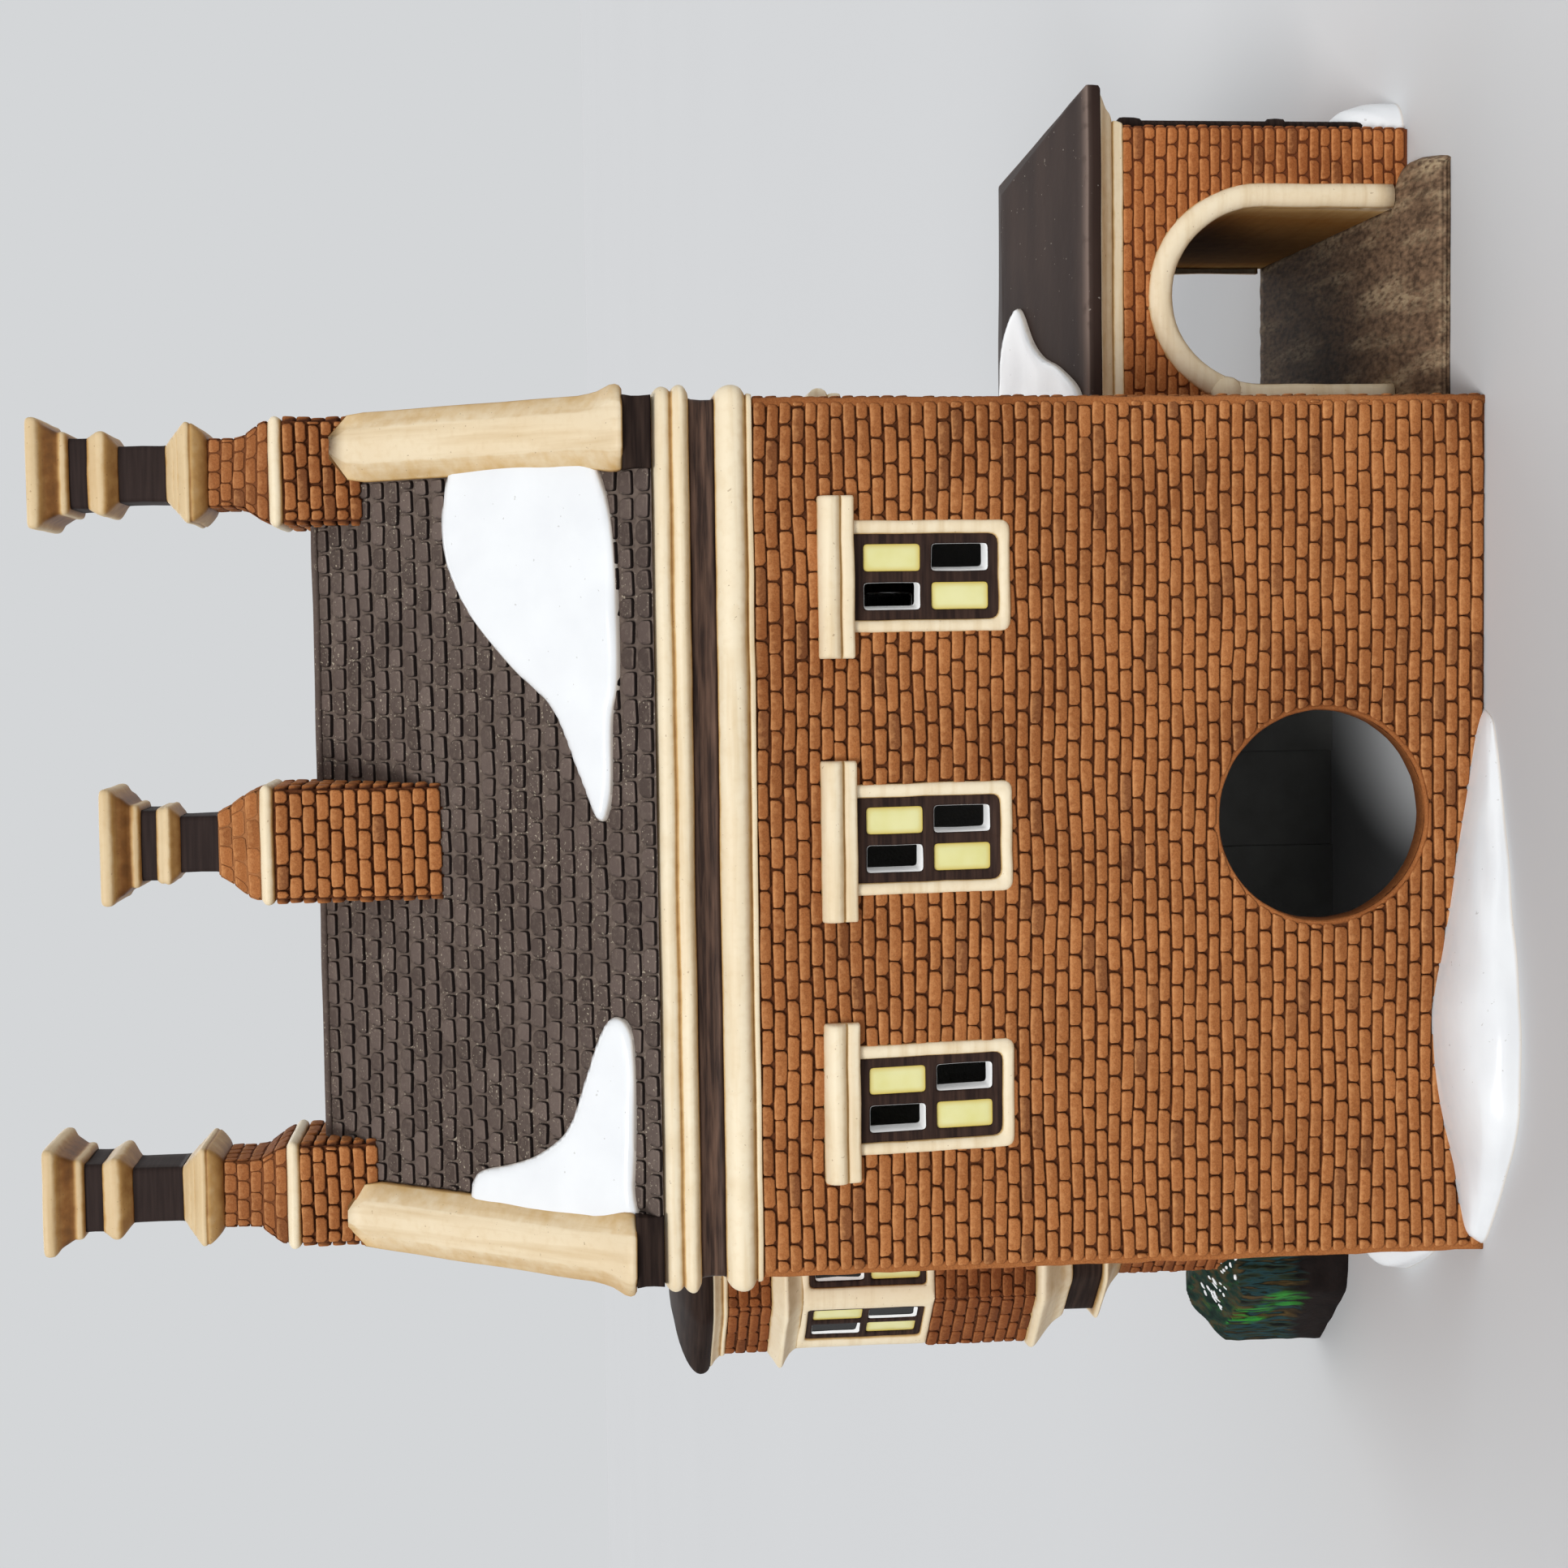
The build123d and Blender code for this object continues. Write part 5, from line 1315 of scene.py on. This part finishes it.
def porch_bricks(rear, front):
    """The bricks of the porch, cut round its arches."""
    rng = random.Random(44)
    seam = HALF_W + 0.3
    skin = Skin()
    for face, middle, left, right in ((rear, -ARCH_X, seam, -PORCH_X0), (front, ARCH_X, PORCH_X0, -seam)):
        legs = (middle - 16.6, middle + 16.6, -1, 30.3)
        outline = rect(left, right, BRICK_FOOT, PORCH_H)
        brick_panel(skin, rng, face, outline, [legs], (middle, 24.53, 17.4), **PORCH_LAY)
    for x, facing, left, right in ((PORCH_X0, -1, -PORCH_Y0, -PORCH_Y1),
                                   (-HALF_W - CLEAR, 1, PORCH_Y1, -DEPTH - 0.5)):
        face = Face((x, 0, 0), (facing, 0))
        brick_panel(skin, rng, face, rect(left, right, BRICK_FOOT, PORCH_H), **PORCH_LAY)
    skin.make("porch_bricks", PORCH_BRICK, "brick")


def archway_plaster():
    """The lining of the archway, darker towards its middle and its top as painted shade inside the archway,
    from (y, rise).
    """
    skin = Skin(wobble=0.1, wave=8.0)
    path = arch_path(-0.12, 0.5)
    depths = ((PORCH_Y0 + 0.2, 0.75), (-35, 0.6), (-38, 0.4), (-44, 0.27), (-54, 0.16), (-66, 0.09),
              (-78, 0.08), (-90, 0.13), (PORCH_Y1 - 0.2, 0.4))
    skin.sheet([skin.loop([(ARCH_X - a, y, z) for a, z in path], [rise * (1.3 - z / 60) for _, z in path])
                for y, rise in depths], closed=False)
    skin.make("archway_plaster", ARCHWAY, "trim")


def downpipe():
    """The downpipe with its head and a collar."""
    skin = Skin(wobble=0.05, wave=2.0)
    pipe = ((3.0, 0.85, 0.5), (3.2, 0.95, 0.9), (12, 0.9, 1.0), (30, 0.9, 1.0), (47.2, 0.9, 0.8))
    head = ((43.4, 0.9, 0.4), (43.7, 1.2, 0.8), (44.6, 1.35, 1.0), (46.2, 1.4, 1.0), (47.0, 1.3, 0.9),
            (47.4, 0.9, 0.5))
    collar = ((19.4, 0.9, 0.4), (19.7, 1.25, 0.9), (21.0, 1.35, 1.0), (22.3, 1.25, 0.9), (22.6, 0.9, 0.4))
    pipe_x, pipe_y = PORCH_X0 - 1.05, PORCH_Y0 - 4.0
    for levels in (pipe, head, collar):
        loft(skin, levels, lambda radius: [(pipe_x + radius * c, pipe_y + radius * s) for c, s in circle(14)])
    skin.make("downpipe", DARK, "dark", "downpipe")


def build_porch():
    rear, front = Face((0, PORCH_Y0, 0), (0, 1)), Face((0, PORCH_Y1, 0), (0, -1))
    porch_bricks(rear, front)
    porch_arch("porch_rear_arch", rear, -ARCH_X, 0.0)
    porch_arch("porch_front_arch", front, ARCH_X, 1.0)
    archway_plaster()
    porch_cornice()
    porch_roof()
    downpipe()
    build_drive()


def drive_end(y):
    """How far out the ragged outer end of the drive lies at a y."""
    ends = ((13.5, 103.4), (15, 104.0), (18, 104.6), (22, 105.2), (26, 105.8), (29, 105.6), (31.2, 104.4),
            (33.0, 102.4), (33.4, 98.95), (99, 98.95))
    for (y0, out0), (y1, out1) in zip(ends, ends[1:]):
        if y0 <= y <= y1:
            found = out0 + (out1 - out0) * (y - y0) / (y1 - y0)
    return found


def build_drive():
    """The drive, with a ridged lip at the rear and a ragged outer end; x and y count away from the house."""
    skin = Skin()
    arch_y, columns = 33.2, 48
    lip = [(13.85, 0.0, 0.2), (13.7, 0.35, 0.7), (13.85, 0.6, 0.25), (13.75, 0.95, 0.9), (13.95, 1.25, 0.4),
           (14.3, 1.6, 1.0)]
    flat = [14.9 + 1.1 * k for k in range(17)] + [33.6 + 2.6 * k for k in range(25)] + [98.1]
    loops = []
    for y, z, rise in lip + [(y, None, 1.0) for y in flat]:
        begin, end = 65.15 if y < arch_y else 70.45, drive_end(y)
        level = 1.8 + 3.2 * (y - 15) / 83 if z is None else z
        points = []
        for k in range(columns + 1):
            x = begin + (end - begin) * k / columns
            drop = max(0.0, 1 - (end - x) / 1.2) ** 2 if y < arch_y else 0.0
            if z is None:
                rough = 0.18 * noise.fractal(Vector((x * 0.5, y * 0.5, 7.0)), 1.0, 2.0, 3)
            else:
                rough = 0.06 * noise.noise(Vector((x * 0.4, 1, z)))
            bend = 0.35 * noise.noise(Vector((x * 0.09, 3.0, 1.0))) if y < 20 else 0.0
            points.append((-x, -y + bend, max(0.0, level * (1 - drop) + (rough if level > 0.5 else 0))))
        # The rise falls deeper into the archway, so the drive darkens there as painted shade
        loops.append(skin.loop(points, rise * (0.35 + 0.65 * max(0.0, min(1.0, (62 - y) / 34)))))
    skin.sheet(loops, closed=False)
    inner, outer = [loop[0] for loop in loops], [loop[-1] for loop in loops]
    for edge, flip in ((outer, False), (inner, True), (loops[-1], False)):
        ground = skin.loop([(skin.points[i].x, skin.points[i].y, 0.0) for i in edge], 0.2)
        skin.sheet([ground, edge] if flip else [edge, ground], closed=False)
    skin.make("porch_drive", DRIVE, "drive", "porch_drive")


# Corners of the bush, with the height of the edge that starts there and the slope of its top behind that edge
BUSH_PLAN = ((77.6, -61.4, 19.4, 1.1), (88.6, -63.2, 18.4, 0.95), (102.4, -79.0, 17.2, 1.0),
             (101.0, -84.6, 17.6, 1.0), (95.5, -86.2, 18.4, 0.9), (82.0, -86.0, 18.4, 0.9),
             (77.8, -82.0, 23.0, 0.4))
BUSH_X, BUSH_Y, BUSH_H = 90.0, -75.0, 25.7


def bush_top(x, y):
    """The height of the bush's slanted top."""
    top = BUSH_H
    for (x0, y0, edge, slope), (x1, y1, _, _) in edges(BUSH_PLAN):
        away = ((y1 - y0) * (x - x0) - (x1 - x0) * (y - y0)) / math.hypot(x1 - x0, y1 - y0)
        top = min(top, edge + slope * abs(away))
    return top + 0.35 * noise.noise(Vector((x * 0.5, y * 0.5, 5.0)))


def build_bush():
    """A clipped bush with flat sides, ribbed like hanging leaves, a slanted top and a bare foot."""
    skin = Skin()
    middle = Vector((BUSH_X, BUSH_Y))
    outline = [Vector(p) for p in soft_corners([p[:2] for p in BUSH_PLAN], 1.3, 20, 4)]
    rim_size, foot_z = 0.965, 6
    sides = smoothed([(0.0, 1.0), (0.04, 1.0), (0.2, 0.985), (0.4, 0.985), (0.6, 0.995), (0.8, 0.995),
                      (0.93, 0.985), (1.0, rim_size)], 4)
    loops = []
    for share, size in sides + [(1.0, rim_size - 0.045 * k) for k in range(1, 21)]:
        points, tones, rises = [], [], []
        for rim in outline:
            place = middle + (rim - middle) * size
            z = share * bush_top(place.x, place.y)
            rib = abs(noise.noise(Vector((rim.x * 0.75, rim.y * 0.75, z * 0.05))))
            green = noise.noise(Vector((rim.x * 0.17, rim.y * 0.17, z * 0.1)))
            lumps = 0.3 * noise.noise(Vector((rim.x * 0.3, rim.y * 0.3, z * 0.4)))
            depth = min(1.0, max(0.0, (z - foot_z) / 3)) * min(1.0, max(0.0, (size - 0.9) / 0.06))
            inward = (rim - middle).normalized() * (depth * min(2.4 * rib, 1.3) - lumps * size)
            points.append((place.x - inward.x, place.y - inward.y, z))
            tones.append(0.95 * green + 0.35 - 1.1 * rib)
            rises.append((z + 0.22 * (rim.x - BUSH_X)) / 26)
        loops.append(skin.loop(points, rises, tones))
    skin.solid(loops)
    skin.make("bush", LEAF, "leaf", "bush")


def bush_flecks():
    """Small flecks of snow in clusters on the top of the bush."""
    flecks = Skin()
    rng = random.Random(8)
    clusters = ((91.6, -72.4, 16), (89.2, -68.8, 8), (83.6, -64.6, 10), (93.0, -81.0, 9), (85.0, -80.0, 9))
    for mid_x, mid_y, count in clusters:
        for _ in range(count):
            x, y = mid_x + rng.uniform(-2.2, 2.2), mid_y + rng.uniform(-1.6, 1.6)
            turn, long, wide = rng.uniform(-0.5, 0.1), rng.uniform(0.35, 0.8), 0.15
            loops = []
            for size, h in ((1.0, -0.1), (0.8, 0.16), (0.4, 0.22)):
                ring = []
                for c, s in circle(8):
                    along, across = long * size * c, wide * size * s
                    a = x + along * math.cos(turn) - across * math.sin(turn)
                    b = y + along * math.sin(turn) + across * math.cos(turn)
                    ring.append((a, b, bush_top(a, b) + h))
                loops.append(flecks.loop(ring))
            flecks.solid(loops)
    flecks.make("bush_snow_flecks", SNOW, "snow")


def nearest(outline, a, b):
    """The closest point of a closed outline, its distance, and whether (a, b) is inside."""
    best, found, crossings = 1e9, None, 0
    for (x0, y0), (x1, y1) in edges(outline):
        dx, dy = x1 - x0, y1 - y0
        t = min(1.0, max(0.0, ((a - x0) * dx + (b - y0) * dy) / (dx * dx + dy * dy + 1e-12)))
        px, py = x0 + dx * t, y0 + dy * t
        away = math.hypot(a - px, b - py)
        if away < best:
            best, found = away, (px, py)
        if (y0 > b) != (y1 > b) and a < x0 + (b - y0) / dy * dx:
            crossings += 1
    return found, best, crossings % 2 == 1


def snow_patch(name, face, corners, thick, edge):
    """A thick layer of snow with a soft edge inside a closed outline, as a grid with a skirt round it."""
    cell = 0.8
    outline = closed_curve(corners)
    left, right, low, high = extent(outline)
    left, low = left - cell, low - cell
    across, up = int((right - left) / cell) + 3, int((high - low) / cell) + 3
    skin = Skin()
    places, within, foot = {}, set(), {}
    for i in range(across):
        for j in range(up):
            a, b = left + i * cell, low + j * cell
            rim, away, is_in = nearest(outline, a, b)
            if is_in:
                within.add((i, j))
                t = 1 - min(away / edge, 1)
                swell = 1 + 0.18 * noise.noise(Vector((a * 0.13, b * 0.13, 4.0)))
                h = thick * (0.5 + 0.5 * math.sqrt(max(0.0, 1 - t * t))) * swell
                # The rise falls towards the rim, where the snow paint darkens the edge as painted shade
                places[i, j] = skin.loop([face.at(a, b, h)], min(away / 0.9, 1.0))[0]
            elif away <= 1.5 * cell:
                places[i, j] = skin.loop([face.at(*rim, 0.5 * thick)], 0.0)[0]
                foot[places[i, j]] = skin.loop([face.at(*rim, -0.1)], 0.0)[0]
    for i in range(across - 1):
        for j in range(up - 1):
            square = rect(i, i + 1, j, j + 1, inset=0)
            if any(c in within for c in square) and all(c in places for c in square):
                skin.fill([places[c] for c in square])
    sides = {side for f in skin.faces for side in edges(f)}
    for one, two in sorted(sides):
        if (two, one) not in sides and one in foot and two in foot:
            skin.fill([two, one, foot[one], foot[two]])
    skin.make(name, SNOW, "snow", name)


def drift(name, stations, turn):
    """Snow against a wall, from (place along the wall, reach, height); turn places a point."""
    skin = Skin()
    sides = 14
    loops = []
    for along, reach, high in smoothed(stations, 5):
        points, rises = [], []
        for k in range(sides + 1):
            t = math.pi / 2 * k / sides
            wave = 1 + 0.06 * noise.noise(Vector((along * 0.12, k * 0.3, 2.0)))
            out = max(reach, 0.05) * math.sin(t) ** 0.85 * wave
            points.append(turn(along, out, max(high, 0.02) * abs(math.cos(t)) ** 0.7))
            # The rise falls to 0 at the foot of the drift, where the snow paint darkens it as painted shade
            rises.append(min(1.0, max(high, 0.0) * math.cos(t) / 0.8))
        loops.append(skin.loop(points, rises))
    skin.sheet(loops, closed=False)
    skin.make(name, SNOW, "snow", name)


def build_snow():
    """The snow on the roofs, and the drifts along the rear wall, the turret end and the porch's pier."""
    rear = slope_face(True)
    snow_patch("roof_snow_turret_end", rear, [
        (-60, 34.5), (-55, 35.3), (-52.6, 34.6), (-51.2, 32.6), (-49.9, 27.6), (-47.8, 22.2),
        (-43.4, 16.6), (-35.6, 13.2), (-28, 10.0), (-25.8, 7.2), (-28.9, 4.6), (-40, 4.3), (-51, 4.9),
        (-60, 6.2)], 1.55, 1.4)
    snow_patch("roof_snow_porch_end", rear, [
        (60, 35.6), (55.6, 37.0), (51, 38.0), (46, 38.2), (41.2, 37.2), (33.8, 32.9), (26.2, 25.5),
        (20.1, 18.1), (11.2, 13.7), (4.4, 10.6), (3.6, 8.9), (8, 7.6), (18.7, 7.2), (24.6, 6.1),
        (40.7, 6.2), (49.5, 7.2), (55.4, 9.2), (60, 11.5)], 1.55, 1.4)
    hip = Face((0, PORCH_Y0 + 5.6, 54.7), (0, 1), math.pi / 2 - math.atan2(6.5, 38.1))
    snow_patch("porch_roof_snow", hip, [
        (64.5, 37.8), (71.5, 38.2), (78.3, 37.3), (82.9, 34.5), (85.8, 29.3), (79.7, 23.4), (76.3, 18.2),
        (74.0, 11.5), (70.2, 4.0), (67, 1.6), (64.5, 1.4)], 1.2, 1.5)
    drift("rear_drift", [
        (-64.6, 0.0, 0.0), (-63.6, 1.4, 1.6), (-62.1, 2.7, 2.9), (-58, 5.6, 3.8), (-52.2, 9.2, 4.7),
        (-46.9, 12.6, 6.0), (-41, 14.4, 7.2), (-34.8, 14.8, 7.9), (-28.7, 14.5, 8.1), (-24.1, 14.0, 7.6),
        (-17.6, 12.6, 6.3), (-8.4, 10.6, 4.9), (-1, 9.0, 3.8), (6.3, 7.1, 2.6), (12.8, 5.2, 1.6),
        (16.4, 3.6, 0.8), (18.0, 0.0, 0.0)], lambda a, out, z: (-a, out + CLEAR, z))
    drift("side_drift", [
        (16.5, 0.0, 0.0), (17.4, 3.2, 2.0), (20, 5.8, 3.8), (25, 8.6, 6.2), (30, 10.9, 8.2), (34, 11.8, 8.8),
        (38, 10.8, 7.6), (43, 7.4, 4.6), (46.5, 3.0, 2.0), (48, 0.0, 0.0)],
        lambda a, out, z: (HALF_W + CLEAR + out, -a, z))
    drift("pier_drift", [
        (34.5, 0.0, 0.0), (35.2, 2.4, 4.0), (37, 4.4, 8.4), (40, 5.4, 11.2), (43, 5.3, 10.6), (46, 4.0, 7.0),
        (48.6, 2.0, 3.0), (50, 0.0, 0.0)], lambda a, out, z: (PORCH_X0 - CLEAR - out, -a, z))


def paint_solids():
    """Paints the CAD pieces that stay in sight between the bricks and slates."""
    joints = ("rear_wall", "front_wall", "porch_end_wall", "turret_end_wall", "porch_end_gable",
              "turret_end_gable", "porch_end_chimney_base", "turret_end_chimney_base", "middle_chimney_base",
              "turret_pier", "turret_lower_drum", "turret_upper_drum", "front_door")
    for paint, nodes in ((MORTAR, joints), (PORCH_BRICK, ("porch_block",)),
                         (SLATE_BED, ("rear_roof_slope", "front_roof_slope"))):
        for node in nodes:
            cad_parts[node].data.materials.clear()
            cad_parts[node].data.materials.append(paint)


def build_floor():
    half = 6
    mesh = bpy.data.meshes.new("floor")
    mesh.from_pydata([(x, y, 0) for x, y in rect(-half, half, -half, half)], [], [(0, 1, 2, 3)])
    p = Paint("floor_paint", roughness=1.0, specular=0.0)
    mesh.materials.append(p.done(p.ramp(p.noise(400, 2), (0.3, (210, 211, 212)), (0.7, (211, 212, 213)))))
    floor = bpy.data.objects.new("floor", mesh)
    bpy.context.collection.objects.link(floor)


def build_world():
    """A soft sky, and a plain backdrop for what the camera and reflections see."""
    world = bpy.data.worlds.new("studio")
    bpy.context.scene.world = world
    world.use_nodes = True
    nodes, links = world.node_tree.nodes, world.node_tree.links
    light = nodes["Background"]
    light.inputs["Color"].default_value = (0.95, 0.97, 1.0, 1.0)
    light.inputs["Strength"].default_value = 0.42
    backdrop = nodes.new("ShaderNodeBackground")
    backdrop.inputs["Color"].default_value = srgb(212, 214, 216)
    path, mix = nodes.new("ShaderNodeLightPath"), nodes.new("ShaderNodeMixShader")
    shown = path.outputs["Is Camera Ray"]
    for ray in ("Is Glossy Ray", "Is Transmission Ray"):
        either = nodes.new("ShaderNodeMath")
        either.operation = "MAXIMUM"
        links.new(shown, either.inputs[0])
        links.new(path.outputs[ray], either.inputs[1])
        shown = either.outputs["Value"]
    links.new(shown, mix.inputs["Fac"])
    links.new(light.outputs["Background"], mix.inputs[1])
    links.new(backdrop.outputs["Background"], mix.inputs[2])
    links.new(mix.outputs["Shader"], nodes["World Output"].inputs["Surface"])


def build_lights():
    """Three wide suns."""
    suns = (("key", (0.35, 1.0, 0.7), 1.94, 20), ("fill", (-0.8, 0.6, 0.5), 0.4, 60),
            ("back", (-0.1, -0.9, 0.8), 1.1, 60))
    for name, place, power, angle in suns:
        lamp = bpy.data.lights.new(name, "SUN")
        lamp.energy = power
        lamp.angle = math.radians(angle)
        holder = bpy.data.objects.new(name, lamp)
        holder.rotation_euler = (-Vector(place)).to_track_quat("-Z", "Y").to_euler()
        bpy.context.collection.objects.link(holder)


def build_camera():
    """The photograph's camera, turned on its side as the photograph is."""
    place, turns = (-29.68, 357.94, 143.05), (5.72, -3.38, 1.14)
    focal_px, photo_px, sensor = 3000, 1932, 36.0
    pitch, yaw, roll = (math.radians(v) for v in turns)
    forward = Vector((-math.sin(yaw) * math.cos(pitch), -math.cos(yaw) * math.cos(pitch), -math.sin(pitch)))
    right = Vector((-math.cos(yaw), math.sin(yaw), 0))
    down = forward.cross(right)
    cos, sin = math.cos(roll), math.sin(roll)
    right, down = right * cos + down * sin, down * cos - right * sin
    data = bpy.data.cameras.new("camera")
    data.sensor_width = sensor
    data.lens = focal_px / photo_px * sensor
    camera = bpy.data.objects.new("camera", data)
    turn = Matrix((down, right, -forward)).transposed().to_4x4()
    x, y, z = place
    camera.matrix_world = Matrix.Translation((MID_X + x * MM, FACE_Y + y * MM, z * MM)) @ turn
    bpy.context.collection.objects.link(camera)
    bpy.context.scene.camera = camera


build_walls()
build_courses()
build_roof()
build_copings()
build_chimneys()
build_windows()
build_turret()
build_porch()
build_bush()
bush_flecks()
build_snow()
paint_solids()
build_floor()
build_world()
build_lights()
build_camera()
bpy.context.scene.view_settings.view_transform = "Standard"
